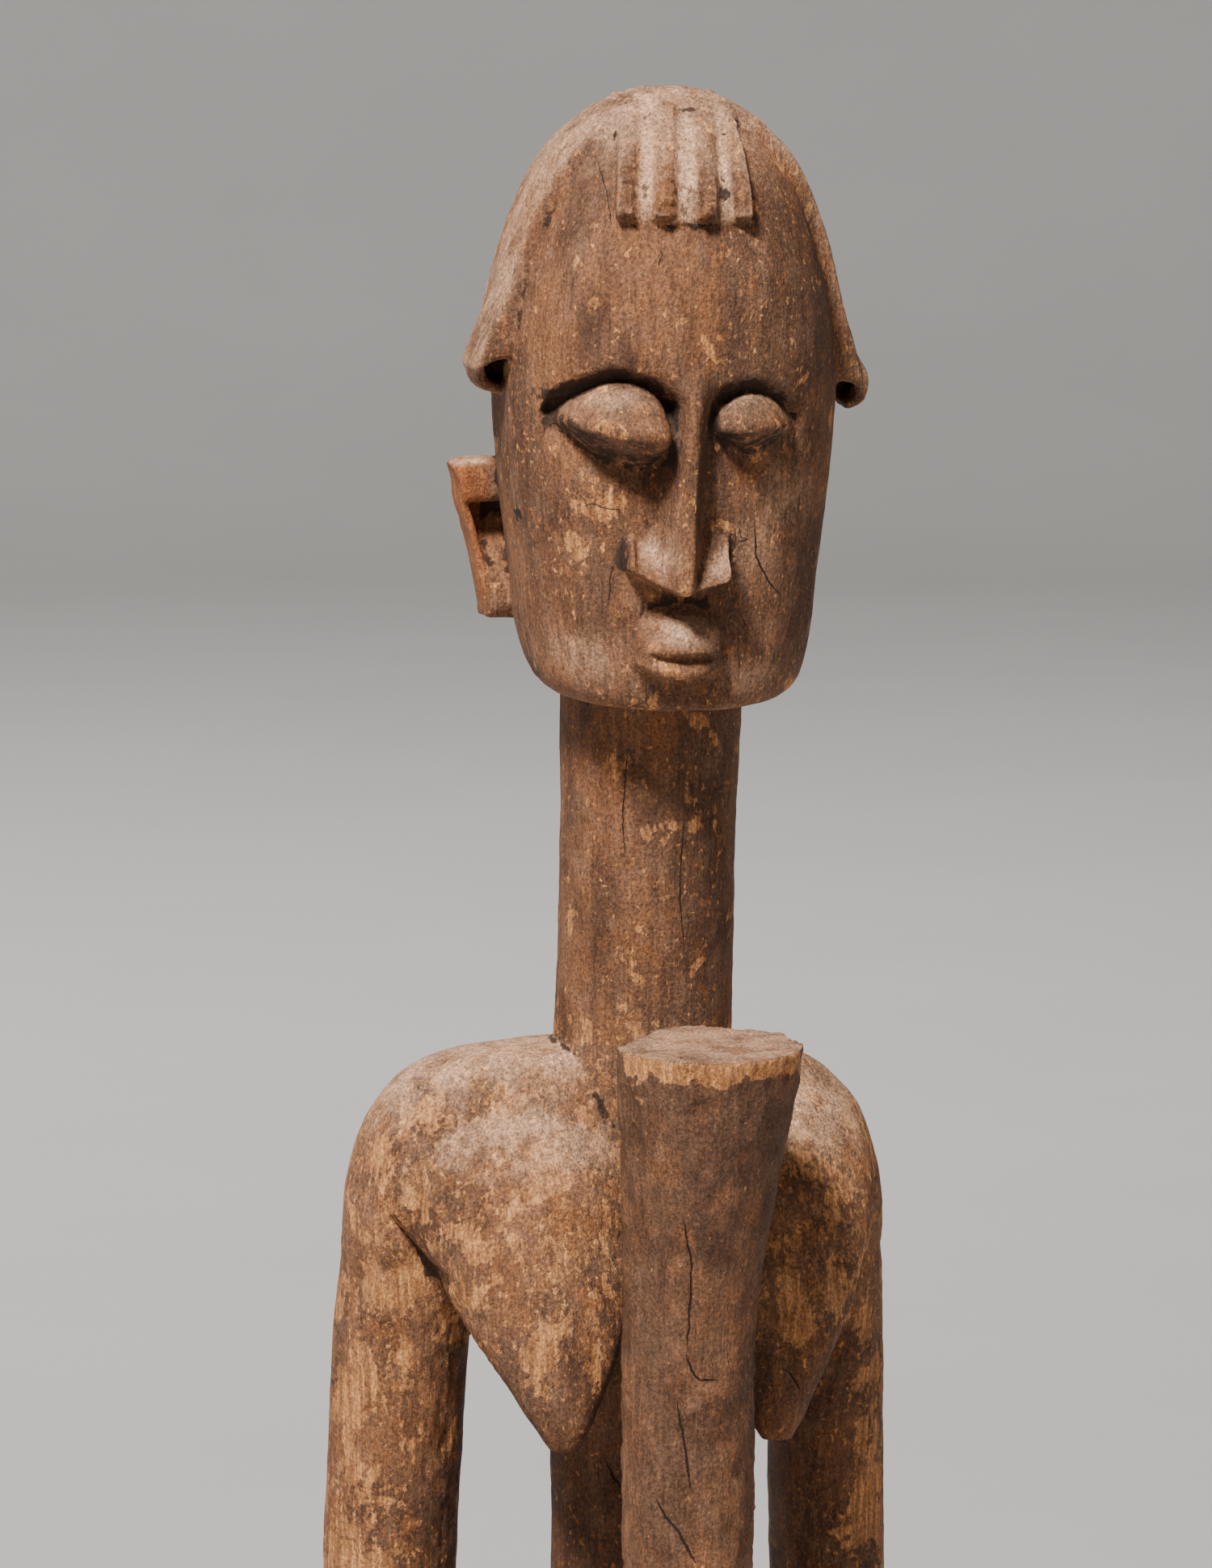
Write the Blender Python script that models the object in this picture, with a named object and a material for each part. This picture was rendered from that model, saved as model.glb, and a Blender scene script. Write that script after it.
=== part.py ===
"""A standing woman with a pestle, carved in one block of wood with the mortar and the round base.

She faces -Y, +Z is up, and the origin is the centre of the base's underside. Lengths are in metres.
Her pose and carving are written in parts, where she is 600 parts tall from her soles to her crown.
"""

import math

import bmesh
import bpy
import numpy as np
from mathutils import Matrix, Vector

# Driving dimensions
FIGURE_HEIGHT = 0.600
BASE_DIAMETER = 0.152
BASE_THICKNESS = 0.028
BASE_EDGE_ROUNDING = 0.004
PESTLE_DIAMETER = 0.0284
PESTLE_HEAD_DIAMETER = 0.0404
PESTLE_FOOT_DIAMETER = 0.0340
MORTAR_DIAMETER = 0.0530
MORTAR_WAIST_DIAMETER = 0.0400
MORTAR_HEIGHT = 0.0600
MORTAR_WALL = 0.0040
MORTAR_WELL_DEPTH = 0.0110
NECK_DIAMETER = 0.0390
FORM_GRAIN = 0.0012
FACET_COUNT = 9700

PART = FIGURE_HEIGHT / 600
WOOD_COLOUR = (0.20, 0.105, 0.055, 1.0)
WOOD_ROUGHNESS = 0.78

# Places in parts: x to her left, y behind her, z above the base
PESTLE_AXIS = (0.0, -26.0)
PESTLE_TOP = 400.0
PESTLE_HEAD_LEAN = (3.2, -4.5)
PESTLE_TOP_SLOPE = math.radians(3.0)
NECK_ROOT = (1.4, 18.0, 372.0)
NECK_END = (2.8, 13.0, 486.0)
CHIN = (3.2, 8.5, 470.6)
HEAD_NOD = math.radians(4.0)
HEAD_TURN = math.radians(-3.0)

# Height above the chin, half width, depth in front and depth behind, in parts
HEAD_STATIONS = (
    (0.0, 16.0, 27.0, 10.0),
    (1.6, 22.6, 30.0, 15.0),
    (4.5, 27.2, 31.0, 18.5),
    (9.0, 30.0, 31.4, 22.5),
    (17.0, 31.6, 31.6, 28.0),
    (28.0, 32.6, 31.4, 33.0),
    (45.0, 34.7, 31.0, 39.5),
    (61.0, 35.9, 32.0, 43.5),
    (74.0, 35.8, 34.4, 44.5),
    (84.0, 34.3, 34.6, 44.0),
    (94.0, 31.9, 33.4, 41.8),
    (103.0, 28.9, 30.8, 37.8),
    (111.0, 25.6, 27.4, 32.6),
    (117.6, 21.6, 23.0, 27.0),
    (123.2, 16.6, 17.4, 20.6),
    (127.0, 10.6, 11.0, 13.0),
    (128.8, 4.0, 4.0, 4.6),
)
JAW_RISE = 5.0
FACE_SQUARENESS = 2.35
EYES = (
    {"x": -17.0, "z": 61.8, "half_length": 11.6, "half_height": 8.0, "tilt": 0.05},
    {"x": 12.6, "z": 61.6, "half_length": 9.4, "half_height": 6.2, "tilt": -0.04},
)
EYE_RISE = 7.6
SOCKET_DEPTH = 4.2
NOSE_ROOT = 69.0
NOSE_TIP = 26.3
NOSE_RISE = 10.5
NOSE_LEAN = (-0.6, -3.8)
NOSE_WING = 12.2
MOUTH_CENTRE = (-2.2, 12.3)
MOUTH_HALF_WIDTH = 10.2
MOUTH_RISE = 7.6
CREST_FRONT = 103.0
CREST_HALF_WIDTH = 14.0
CREST_RISE = 3.8
CAP_RISE = 3.3
CAP_FRONT = -9.5
CAP_HEMS = {-1: 70.5, 1: 65.0}
CAP_HEM_BEHIND = 36.0
LOCK_FLARE = 4.8
EAR_HEIGHT = (14.8, 48.6)
EAR_REACH = (37.6, 41.4)
EAR_PLACE = 20.0

# Half width and half depth of the trunk at each height: x, y, z, half width, half depth
TRUNK = (
    (0, 20, 388, 20, 15),
    (0, 20, 350, 19, 18.5),
    (0, 20, 310, 18, 18),
    (0, 20, 280, 17.6, 17.6),
    (0, 19, 245, 18.6, 18.6),
    (0, 18, 215, 21.5, 20.5),
    (0, 20, 188, 26, 22),
    (0, 24, 165, 28.5, 23),
    (0, 24, 146, 22, 18),
)
# The shoulders, from the foot of the neck down to the armpits
SHOULDERS = (
    (-2.4, 22, 395, 15, 9),
    (-4.0, 22, 393.6, 31, 13),
    (-4.4, 22.5, 391, 41.5, 16.5),
    (-3.8, 23, 385, 50, 20),
    (-3.2, 23.5, 377, 55.6, 23.5),
    (-3.0, 23.5, 366, 59.2, 25.5),
    (-2.8, 24, 355, 60.6, 25),
    (-2.4, 27, 344, 60.4, 20),
    (-1.8, 31, 335, 57, 12.5),
    (-1.6, 34, 329, 50, 5),
)
# One side of the chest, from the top of the shoulder down to the breast's tip
BREAST = (
    (12, 21, 392, 12, 4),
    (15, 20, 388, 20, 10),
    (20, 18, 381, 26, 16),
    (24, 14.5, 370, 27.5, 19.5),
    (25.2, 9.5, 357, 25.8, 19),
    (25, 3, 345, 21.4, 15.5),
    (24.5, -3, 334, 16.4, 11.6),
    (24, -8, 324, 10.8, 8),
    (23.8, -11.2, 316, 6.4, 5.2),
    (23.6, -12.6, 311, 3.2, 2.6),
)
ARM = (
    (40, 25, 366, 12, 12),
    (44.8, 27, 352, 14.8, 16.5),
    (47.4, 30.5, 328, 14.8, 15.6),
    (48.8, 33.5, 290, 14.7, 15),
    (50.0, 34.5, 250, 14.4, 15),
    (50.0, 33.5, 231, 12.4, 13.4),
)
ARM_OUTWARD = {-1: 2.0, 1: -0.2}
ARM_WIDTH_SHARES = {-1: 1.0, 1: 0.86}
FOREARM_THICKNESS = (14.0, 13.2, 11.8, 9.6)
UPPER_HAND_HEIGHT = 237.0
LOWER_HAND_HEIGHT = 211.0
HAND_HALF_HEIGHT = 11.5
HAND_THICKNESS = 7.0
LEG = (
    (13, 24, 172, 14, 18),
    (18, 21, 150, 17, 19),
    (23, 12, 118, 16, 17),
    (26, 5, 92, 12.8, 13.2),
    (26.5, 14, 64, 13.8, 15),
    (27, 20, 38, 10.4, 11.2),
    (27, 21, 16, 9.4, 10.4),
    (27, 20, -6, 10, 14),
)
FOOT = (
    (27, 37, 5, 6, 7),
    (27, 32, 6, 9.5, 9),
    (27.5, 15, 6, 10.6, 9.4),
    (29, -1, 3.5, 11.6, 7),
    (29.5, -8, 1.5, 9, 4.5),
)


def through(stations, count):
    """Points on one smooth curve through the stations, by a Catmull-Rom spline on every column at once."""
    p = np.asarray(stations, float)
    ends = np.vstack([2 * p[0] - p[1], p, 2 * p[-1] - p[-2]])
    t = np.linspace(0, len(p) - 1, count)
    i = np.minimum(t.astype(int), len(p) - 2)
    f = (t - i)[:, None]
    a, b, c, d = ends[i], ends[i + 1], ends[i + 2], ends[i + 3]
    return 0.5 * (
        2 * b
        + (c - a) * f
        + (2 * a - 5 * b + 4 * c - d) * f**2
        + (3 * b - a - 3 * c + d) * f**3
    )


def step(low, high, value):
    """0 below low, 1 above high, and a smooth rise between them."""
    t = np.clip((value - low) / (high - low), 0, 1)
    return t * t * (3 - 2 * t)


def closed_rings(rings):
    """Points and faces of a skin over rings of points, from the first ring to the last, with both ends filled."""
    count, around, _ = rings.shape
    index = np.arange(count * around).reshape(count, around)
    here, above = index[:-1], index[1:]
    sides = np.stack(
        [here, np.roll(here, -1, 1), np.roll(above, -1, 1), above], -1
    ).reshape(-1, 4)
    faces = [tuple(face) for face in sides.tolist()]
    faces.append(tuple(index[0, ::-1].tolist()))
    faces.append(tuple(index[-1].tolist()))
    return rings.reshape(-1, 3), faces


def limb(stations, toward, around=28, along=36, squareness=2.0):
    """A skin of rounded sections square to the path; the stations give x, y, z, half width and half depth.
    Depth is measured along the direction called toward."""
    s = through(stations, along)
    centre, wide, deep = s[:, :3], s[:, 3:4], s[:, 4:5]
    tangent = np.gradient(centre, axis=0)
    tangent /= np.linalg.norm(tangent, axis=1, keepdims=True)
    hint = np.broadcast_to(np.asarray(toward, float), tangent.shape)
    depth_way = hint - (hint * tangent).sum(1, keepdims=True) * tangent
    depth_way /= np.linalg.norm(depth_way, axis=1, keepdims=True)
    width_way = np.cross(depth_way, tangent)
    angle = np.linspace(0, 2 * math.pi, around, endpoint=False)
    power = 2 / squareness
    c = np.sign(np.cos(angle)) * np.abs(np.cos(angle)) ** power
    w = np.sign(np.sin(angle)) * np.abs(np.sin(angle)) ** power
    rings = (
        centre[:, None]
        + (wide * c)[..., None] * width_way[:, None]
        + (deep * w)[..., None] * depth_way[:, None]
    )
    return closed_rings(rings)


def level_rings(stations, around=36, along=36, squareness=2.0):
    """A skin of level sections; the stations give x, y, z, half width and half depth."""
    s = through(stations, along)
    angle = np.linspace(0, 2 * math.pi, around, endpoint=False)
    power = 2 / squareness
    c = np.sign(np.cos(angle)) * np.abs(np.cos(angle)) ** power
    w = np.sign(np.sin(angle)) * np.abs(np.sin(angle)) ** power
    rings = np.stack(
        [
            s[:, 0:1] + s[:, 3:4] * c,
            s[:, 1:2] + s[:, 4:5] * w,
            np.broadcast_to(s[:, 2:3], (along, around)),
        ],
        -1,
    )
    return closed_rings(rings)


def turned(profile, centre, around=64):
    """A turned form: the profile gives radius and height, from the bottom up the outside."""
    p = np.asarray(profile, float)
    angle = np.linspace(0, 2 * math.pi, around, endpoint=False)
    rings = np.stack(
        [
            centre[0] + p[:, 0:1] * np.cos(angle),
            centre[1] + p[:, 0:1] * np.sin(angle),
            np.broadcast_to(p[:, 1:2], (len(p), around)),
        ],
        -1,
    )
    return closed_rings(rings)


def face_relief(x, z):
    """How far the carving of the face stands in front of the smooth head at x across and z above the chin."""
    relief = np.zeros_like(x)
    for eye in EYES:
        u = (x - eye["x"]) / eye["half_length"]
        v = (z - eye["z"] - eye["tilt"] * (x - eye["x"])) / eye["half_height"]
        rim = np.hypot(u / 1.12, (v - 0.12) / 1.2)
        edge = np.where(v > 0, step(0.96, 1.14, rim), step(0.9, 1.4, rim))
        relief -= SOCKET_DEPTH * (1 - edge)
        relief += EYE_RISE * np.sqrt(np.clip(1 - u**2 - v**2, 0, 1))
    down = np.clip((NOSE_ROOT - z) / (NOSE_ROOT - NOSE_TIP), 0, 1)
    off = np.abs(x - NOSE_LEAN[0] - (NOSE_LEAN[1] - NOSE_LEAN[0]) * down)
    half_blade = 3.6 + 2.4 * down
    ridge = (4.0 + (NOSE_RISE - 4.0) * down) * np.clip((half_blade - off) / (half_blade - 1.3), 0, 1)
    lower_edge = NOSE_TIP + 0.16 * off
    wing_length = 11.0 - 0.35 * off
    wing = 7.0 * np.clip((lower_edge + wing_length - z) / wing_length, 0, 1)
    wing *= 1 - step(NOSE_WING - 0.8, NOSE_WING + 0.5, off)
    above_edge = step(-0.9, 0.2, z - lower_edge)
    root = 1 - step(NOSE_ROOT - 5, NOSE_ROOT + 5, z)
    relief += np.maximum(ridge * root, wing) * above_edge
    u = np.abs(x - MOUTH_CENTRE[0]) / MOUTH_HALF_WIDTH
    v = z - MOUTH_CENTRE[1]
    lips = np.minimum((11.0 - v) / 8.0, (v + 6.2) / 3.6)
    lips = MOUTH_RISE * np.clip(lips, 0, 1) * np.clip(1 - u**2, 0, 1) ** 0.5
    opening = np.hypot(u * MOUTH_HALF_WIDTH / 6.6, v / 2.8)
    relief += lips - 3.4 * (1 - step(0.5, 1.05, opening))
    return relief


def crest_relief(x, y, z):
    """How far the braided crest stands proud: it runs from the forehead over the crown and down behind."""
    middle = -2.4 * step(10, -30, y)
    half = CREST_HALF_WIDTH - 2.4 * step(100, 126, z)
    across = (x - middle) / half
    side = 1 - step(0.94, 1.06, np.abs(across))
    ends = np.where(y > 0, step(40, 43, z), step(CREST_FRONT - 0.7, CREST_FRONT + 0.7, z))
    braids = 0.55 + 0.45 * np.cos(3 * math.pi * (across + 1))
    lower_at_crown = 1 - 0.5 * step(108, 124, z)
    return CREST_RISE * ends * side * braids * lower_at_crown


def cap_relief(x, y, z):
    """How far the cap of hair stands proud, with the roll along its front that flares out over each ear."""
    front = CAP_FRONT - 3.0 * step(100, 124, z)
    behind_rim = step(front - 0.9, front + 0.9, y)
    over_ear = np.where(x < 0, CAP_HEMS[-1], CAP_HEMS[1])
    hem = over_ear - (over_ear - CAP_HEM_BEHIND) * step(24.0, 38.0, y)
    above_hem = step(hem - 0.9, hem + 0.9, z)
    groove = np.exp(-(((y - front - 9.0) / 1.3) ** 2)) * step(6, 12, z - over_ear)
    flare = LOCK_FLARE * (1 - step(-2, 20, z - over_ear)) ** 1.5 * (1 - step(4.0, 14.0, y))
    thinner = 1 - 0.45 * step(112, 127, z)
    return behind_rim * above_hem * (thinner * CAP_RISE + flare - 1.0 * groove)


def head():
    """The head: level sections squared a little in front, with the face and the hair carved on it."""
    across, along = 150, 150
    s = through(HEAD_STATIONS, along)
    z, wide, front, back = (s[:, i : i + 1] for i in range(4))
    angle = np.linspace(0, 2 * math.pi, across, endpoint=False)
    power = 2 / FACE_SQUARENESS
    c = np.sign(np.cos(angle)) * np.abs(np.cos(angle)) ** power
    w = np.sign(np.sin(angle)) * np.abs(np.sin(angle)) ** power
    x = wide * c
    y = np.where(w < 0, front, back) * w
    z = np.broadcast_to(z, x.shape)
    facing = step(0.05, 0.4, -y / np.maximum(front, 1.0))
    slope = np.broadcast_to(np.gradient(wide[:, 0], s[:, 0])[:, None], x.shape)
    outward = np.stack([c + 0 * x, w + 0 * x, -slope], -1)
    outward /= np.linalg.norm(outward, axis=-1, keepdims=True)
    hair = np.maximum(crest_relief(x, y, z), cap_relief(x, y, z))
    points = np.stack([x, y, z], -1) + hair[..., None] * outward
    points[..., 1] -= face_relief(x, z) * facing
    points[..., 2] += JAW_RISE * (1 - step(0, 30, z)) * step(-12, 24, y)
    return closed_rings(points)


def ears():
    """Each ear is a tall square loop of wood that stands off the side of the head, open to the front."""
    low, high = EAR_HEIGHT
    low_reach, high_reach = EAR_REACH
    shapes = []
    for side in (-1, 1):
        loop = (
            (26, high - 2.8, 3.2),
            (high_reach - 6, high - 2.8, 3.0),
            (high_reach - 2.6, high - 3.2, 2.8),
            (high_reach - 2.2, high - 7, 2.4),
            (0.5 * (high_reach + low_reach) - 2.0, 0.5 * (low + high), 2.0),
            (low_reach - 2.2, low + 6.5, 2.4),
            (low_reach - 2.6, low + 3.2, 2.8),
            (low_reach - 6, low + 2.8, 3.0),
            (24, low + 2.8, 3.0),
        )
        path = [(side * reach, EAR_PLACE, z, thick, 5.2) for reach, z, thick in loop]
        shapes.append(limb(path, (0, 1, 0), around=20, along=60, squareness=3.4))
        shell = (
            (side * 32, EAR_PLACE + 6, high - 2, 6, 3.0),
            (side * 32, EAR_PLACE + 6, 0.5 * (low + high), 6.5, 3.0),
            (side * 29, EAR_PLACE + 6, low + 2, 6, 3.0),
        )
        shapes.append(limb(shell, (0, 1, 0), around=20, along=14, squareness=3.4))
    return shapes


def in_head_place(shape):
    """Nods and turns a shape made about the chin, and sets it over the neck."""
    points, faces = shape
    turn = Matrix.Rotation(HEAD_TURN, 3, "Z") @ Matrix.Rotation(HEAD_NOD, 3, "X")
    return points @ np.array(turn).T + np.array(CHIN), faces


def arm(side, hand_height):
    """The upper arm, the forearm and a hand that wraps round the pestle at hand_height."""
    share, outward = ARM_WIDTH_SHARES[side], ARM_OUTWARD[side]
    path = [(side * (x + outward), y, z, share * wide, deep) for x, y, z, wide, deep in ARM]
    upper = limb(path, (0, 1, 0))
    px, py = PESTLE_AXIS
    grip = PESTLE_DIAMETER / PART / 2 + HAND_THICKNESS / 2
    elbow_x, elbow_y, elbow_z = ARM[-2][0], ARM[-2][1], ARM[-2][2] - 6
    wrist = (px + side * (grip + 4), py + 16)
    centres = (
        (side * elbow_x, elbow_y, elbow_z),
        (side * (0.72 * elbow_x + 4), 0.5 * (elbow_y + wrist[1]) + 5, 0.5 * (elbow_z + hand_height) - 2),
        (wrist[0] + side * 5, wrist[1] + 4, hand_height),
        (wrist[0], wrist[1] - 6, hand_height),
    )
    path = [(*c, t, t) for c, t in zip(centres, FOREARM_THICKNESS)]
    fore = limb(path, (0, 0, 1))
    turns = np.radians((-62, -30, 0, 32, 64, 92, 112))
    sizes = (0.72, 0.9, 1.0, 1.0, 0.97, 0.9, 0.72)
    palm = [
        (
            px + side * grip * math.cos(a),
            py - grip * math.sin(a),
            hand_height,
            HAND_THICKNESS / 2 * size,
            HAND_HALF_HEIGHT * size,
        )
        for a, size in zip(turns, sizes)
    ]
    return [upper, fore, limb(palm, (0, 0, 1), squareness=2.6)]


def leg(side):
    """One bent leg with its foot."""
    shapes = []
    for stations, toward in ((LEG, (0, 1, 0)), (FOOT, (0, 0, 1))):
        shapes.append(limb([(side * x, *rest) for x, *rest in stations], toward))
    return shapes


def chest(side):
    """One side of the chest, which runs from the shoulder down to the point of the breast."""
    return level_rings([(side * x, *rest) for x, *rest in BREAST], squareness=2.2)


def pestle(mortar_floor):
    """The pestle: a round club, narrow where she grips it, whose head flares to one side and is cut off aslant."""
    radius = PESTLE_DIAMETER / PART / 2
    head = PESTLE_HEAD_DIAMETER / PART / 2
    foot = PESTLE_FOOT_DIAMETER / PART / 2
    stations = (
        (mortar_floor, foot, 0.0),
        (mortar_floor + 30, foot * 0.97, 0.0),
        (140.0, radius * 0.98, 0.0),
        (240.0, radius * 0.95, 0.0),
        (300.0, radius * 0.985, 0.0),
        (335.0, radius, 0.02),
        (352.0, radius * 1.05, 0.2),
        (370.0, radius + 0.45 * (head - radius), 0.48),
        (386.0, radius + 0.76 * (head - radius), 0.76),
        (PESTLE_TOP - 1.6, head * 0.985, 0.98),
        (PESTLE_TOP, head * 0.93, 1.0),
    )
    s = through(stations, 70)
    x = PESTLE_AXIS[0] + PESTLE_HEAD_LEAN[0] * s[:, 2]
    y = PESTLE_AXIS[1] + PESTLE_HEAD_LEAN[1] * s[:, 2]
    angle = np.linspace(0, 2 * math.pi, 48, endpoint=False)
    level = np.broadcast_to(s[:, 0:1], (70, 48)).copy()
    sloping = step(PESTLE_TOP - 40, PESTLE_TOP, s[:, 0:1])
    level += math.tan(PESTLE_TOP_SLOPE) * s[:, 1:2] * np.sin(angle) * sloping
    rings = np.stack(
        [
            x[:, None] + s[:, 1:2] * np.cos(angle),
            y[:, None] + s[:, 1:2] * np.sin(angle),
            level,
        ],
        -1,
    )
    return closed_rings(rings)


def mortar():
    """The mortar: a waisted cup with a well round the foot of the pestle."""
    rim = MORTAR_DIAMETER / PART / 2
    waist = MORTAR_WAIST_DIAMETER / PART / 2
    wall = MORTAR_WALL / PART
    height = MORTAR_HEIGHT / PART
    floor = height - MORTAR_WELL_DEPTH / PART
    sunk = -BASE_THICKNESS / PART / 2
    outside = through(
        (
            (rim * 0.90, sunk),
            (rim * 0.88, 4),
            (waist, height * 0.42),
            (rim * 0.96, height * 0.86),
            (rim, height - 1.4),
            (rim - 1.4, height),
        ),
        40,
    )
    inside = ((rim - wall, height), (rim - wall - 1.2, floor), (1.0, floor - 0.5))
    return turned(np.vstack([outside, inside]), PESTLE_AXIS), floor


def base():
    """The round base, whose underside is cut flat later, so it starts a little lower than it stands."""
    radius = BASE_DIAMETER / PART / 2
    edge = BASE_EDGE_ROUNDING / PART
    thick = BASE_THICKNESS / PART
    arc = np.radians(np.linspace(0, 90, 7))
    corner = np.stack([radius - edge + edge * np.cos(arc), -edge + edge * np.sin(arc)], 1)
    profile = np.vstack([(radius * 0.5, -thick - 6), (radius, -thick - 6), corner, (1.0, 0)])
    return turned(profile, (0, 0), around=96)


def all_shapes():
    """Every form of the carving, in parts, each one closed and biting into its neighbours."""
    mortar_shape, mortar_floor = mortar()
    shapes = [base(), mortar_shape, pestle(mortar_floor - 3), level_rings(TRUNK)]
    shapes.append(level_rings(SHOULDERS, around=64, squareness=2.3))
    neck_radius = NECK_DIAMETER / PART / 2
    neck_path = [
        (*Vector(NECK_ROOT).lerp(Vector(NECK_END), t), neck_radius * size, neck_radius * size)
        for t, size in ((0, 1.06), (0.18, 1.0), (0.5, 0.975), (0.8, 1.0), (1, 1.01))
    ]
    shapes.append(limb(neck_path, (0, 1, 0), around=40))
    shapes += [in_head_place(shape) for shape in (head(), *ears())]
    for side, hand_height in ((-1, UPPER_HAND_HEIGHT), (1, LOWER_HAND_HEIGHT)):
        shapes += [chest(side), *arm(side, hand_height), *leg(side)]
    return shapes


def joined_mesh(shapes):
    """One mesh that holds every form at its real size, standing on the base."""
    bm = bmesh.new()
    for points, faces in shapes:
        real = points * PART
        real[:, 2] += BASE_THICKNESS
        verts = [bm.verts.new(p) for p in real]
        for face in faces:
            bm.faces.new([verts[i] for i in face])
    bmesh.ops.recalc_face_normals(bm, faces=bm.faces)
    mesh = bpy.data.meshes.new("figure_forms")
    bm.to_mesh(mesh)
    bm.free()
    return mesh


def settled(obj):
    """The mesh of obj with its modifiers carried out."""
    bpy.context.view_layer.update()
    graph = bpy.context.evaluated_depsgraph_get()
    return bpy.data.meshes.new_from_object(obj.evaluated_get(graph))


def fuse(obj):
    """Makes one skin of the overlapping forms, eases the joins and keeps about FACET_COUNT facets."""
    grain = obj.modifiers.new("one_block", "REMESH")
    grain.mode = "VOXEL"
    grain.voxel_size = FORM_GRAIN
    ease = obj.modifiers.new("knife_work", "SMOOTH")
    ease.factor = 0.5
    ease.iterations = 2
    obj.data = settled(obj)
    obj.modifiers.clear()
    facets = obj.modifiers.new("facets", "DECIMATE")
    facets.ratio = min(1.0, FACET_COUNT / (2 * len(obj.data.polygons)))
    obj.data = settled(obj)
    obj.modifiers.clear()


def cut_underside(obj):
    """Cuts the block off flat at the floor and closes the cut with one face."""
    bm = bmesh.new()
    bm.from_mesh(obj.data)
    everything = bm.verts[:] + bm.edges[:] + bm.faces[:]
    cut = bmesh.ops.bisect_plane(
        bm,
        geom=everything,
        dist=1e-6,
        plane_co=(0, 0, 0),
        plane_no=(0, 0, 1),
        clear_inner=True,
    )
    rim = [e for e in cut["geom_cut"] if isinstance(e, bmesh.types.BMEdge)]
    bmesh.ops.contextual_create(bm, geom=rim)
    bmesh.ops.recalc_face_normals(bm, faces=bm.faces)
    bm.to_mesh(obj.data)
    bm.free()


def wood():
    """Dark brown carved wood."""
    material = bpy.data.materials.new("old_wood")
    material.use_nodes = True
    shader = material.node_tree.nodes["Principled BSDF"]
    shader.inputs["Base Color"].default_value = WOOD_COLOUR
    shader.inputs["Roughness"].default_value = WOOD_ROUGHNESS
    shader.inputs["Metallic"].default_value = 0.0
    return material


def main():
    for obj in list(bpy.data.objects):
        bpy.data.objects.remove(obj)
    figure = bpy.data.objects.new("figure", joined_mesh(all_shapes()))
    bpy.context.scene.collection.objects.link(figure)
    fuse(figure)
    cut_underside(figure)
    figure.data.materials.clear()
    figure.data.materials.append(wood())
    figure.data.shade_smooth()
    figure.data.set_sharp_from_angle(angle=math.radians(50))


main()
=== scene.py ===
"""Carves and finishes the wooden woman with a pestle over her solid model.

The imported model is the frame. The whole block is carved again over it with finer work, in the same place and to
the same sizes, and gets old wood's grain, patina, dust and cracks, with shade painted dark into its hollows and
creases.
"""

import math

import bpy
import numpy as np
from bpy.props import FloatProperty, FloatVectorProperty, IntProperty, PointerProperty
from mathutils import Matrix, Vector


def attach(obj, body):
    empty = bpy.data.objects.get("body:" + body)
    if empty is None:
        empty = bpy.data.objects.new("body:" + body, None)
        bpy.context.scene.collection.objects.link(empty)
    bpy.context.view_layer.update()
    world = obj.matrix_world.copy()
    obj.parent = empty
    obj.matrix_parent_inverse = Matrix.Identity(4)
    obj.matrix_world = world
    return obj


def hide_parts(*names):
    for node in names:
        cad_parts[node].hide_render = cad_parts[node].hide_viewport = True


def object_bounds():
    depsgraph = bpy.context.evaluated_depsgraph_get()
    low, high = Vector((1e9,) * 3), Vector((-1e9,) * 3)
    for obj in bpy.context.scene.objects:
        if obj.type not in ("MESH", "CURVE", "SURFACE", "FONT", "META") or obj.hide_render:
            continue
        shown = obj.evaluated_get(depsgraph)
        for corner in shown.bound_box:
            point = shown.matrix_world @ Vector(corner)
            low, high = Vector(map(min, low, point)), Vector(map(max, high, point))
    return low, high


bl_info = {
    "name": "Carved woman with a pestle",
    "version": (1, 0, 0),
    "blender": (4, 5, 0),
    "location": "3D View > Sidebar > Carving",
    "description": "Carves and finishes a wooden woman with a pestle over her solid model",
    "category": "Add Mesh",
}

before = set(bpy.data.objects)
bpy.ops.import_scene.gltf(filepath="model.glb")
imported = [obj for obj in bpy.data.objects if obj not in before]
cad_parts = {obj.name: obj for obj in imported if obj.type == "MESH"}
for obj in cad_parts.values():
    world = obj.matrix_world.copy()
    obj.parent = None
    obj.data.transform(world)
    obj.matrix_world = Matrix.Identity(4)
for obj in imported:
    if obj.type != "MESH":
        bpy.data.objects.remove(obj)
SOLID_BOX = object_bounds()

# Places are in parts, 600 to the figure's height: x to her left, y behind her, z above the base. Those of the
# head start at its chin.
PARTS_TALL = 600.0
PESTLE_AXIS = (0.0, -26.0)
PESTLE_TOP = 400.0
PESTLE_HEAD_LEAN = (3.2, -4.5)
PESTLE_TOP_SLOPE = math.radians(3.0)
NECK_ROOT = (1.4, 18.0, 372.0)
NECK_END = (2.8, 13.0, 486.0)
CHIN = np.array((3.2, 8.5, 470.6))
HEAD_NOD = math.radians(4.0)
HEAD_TURN = math.radians(-3.0)

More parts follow.
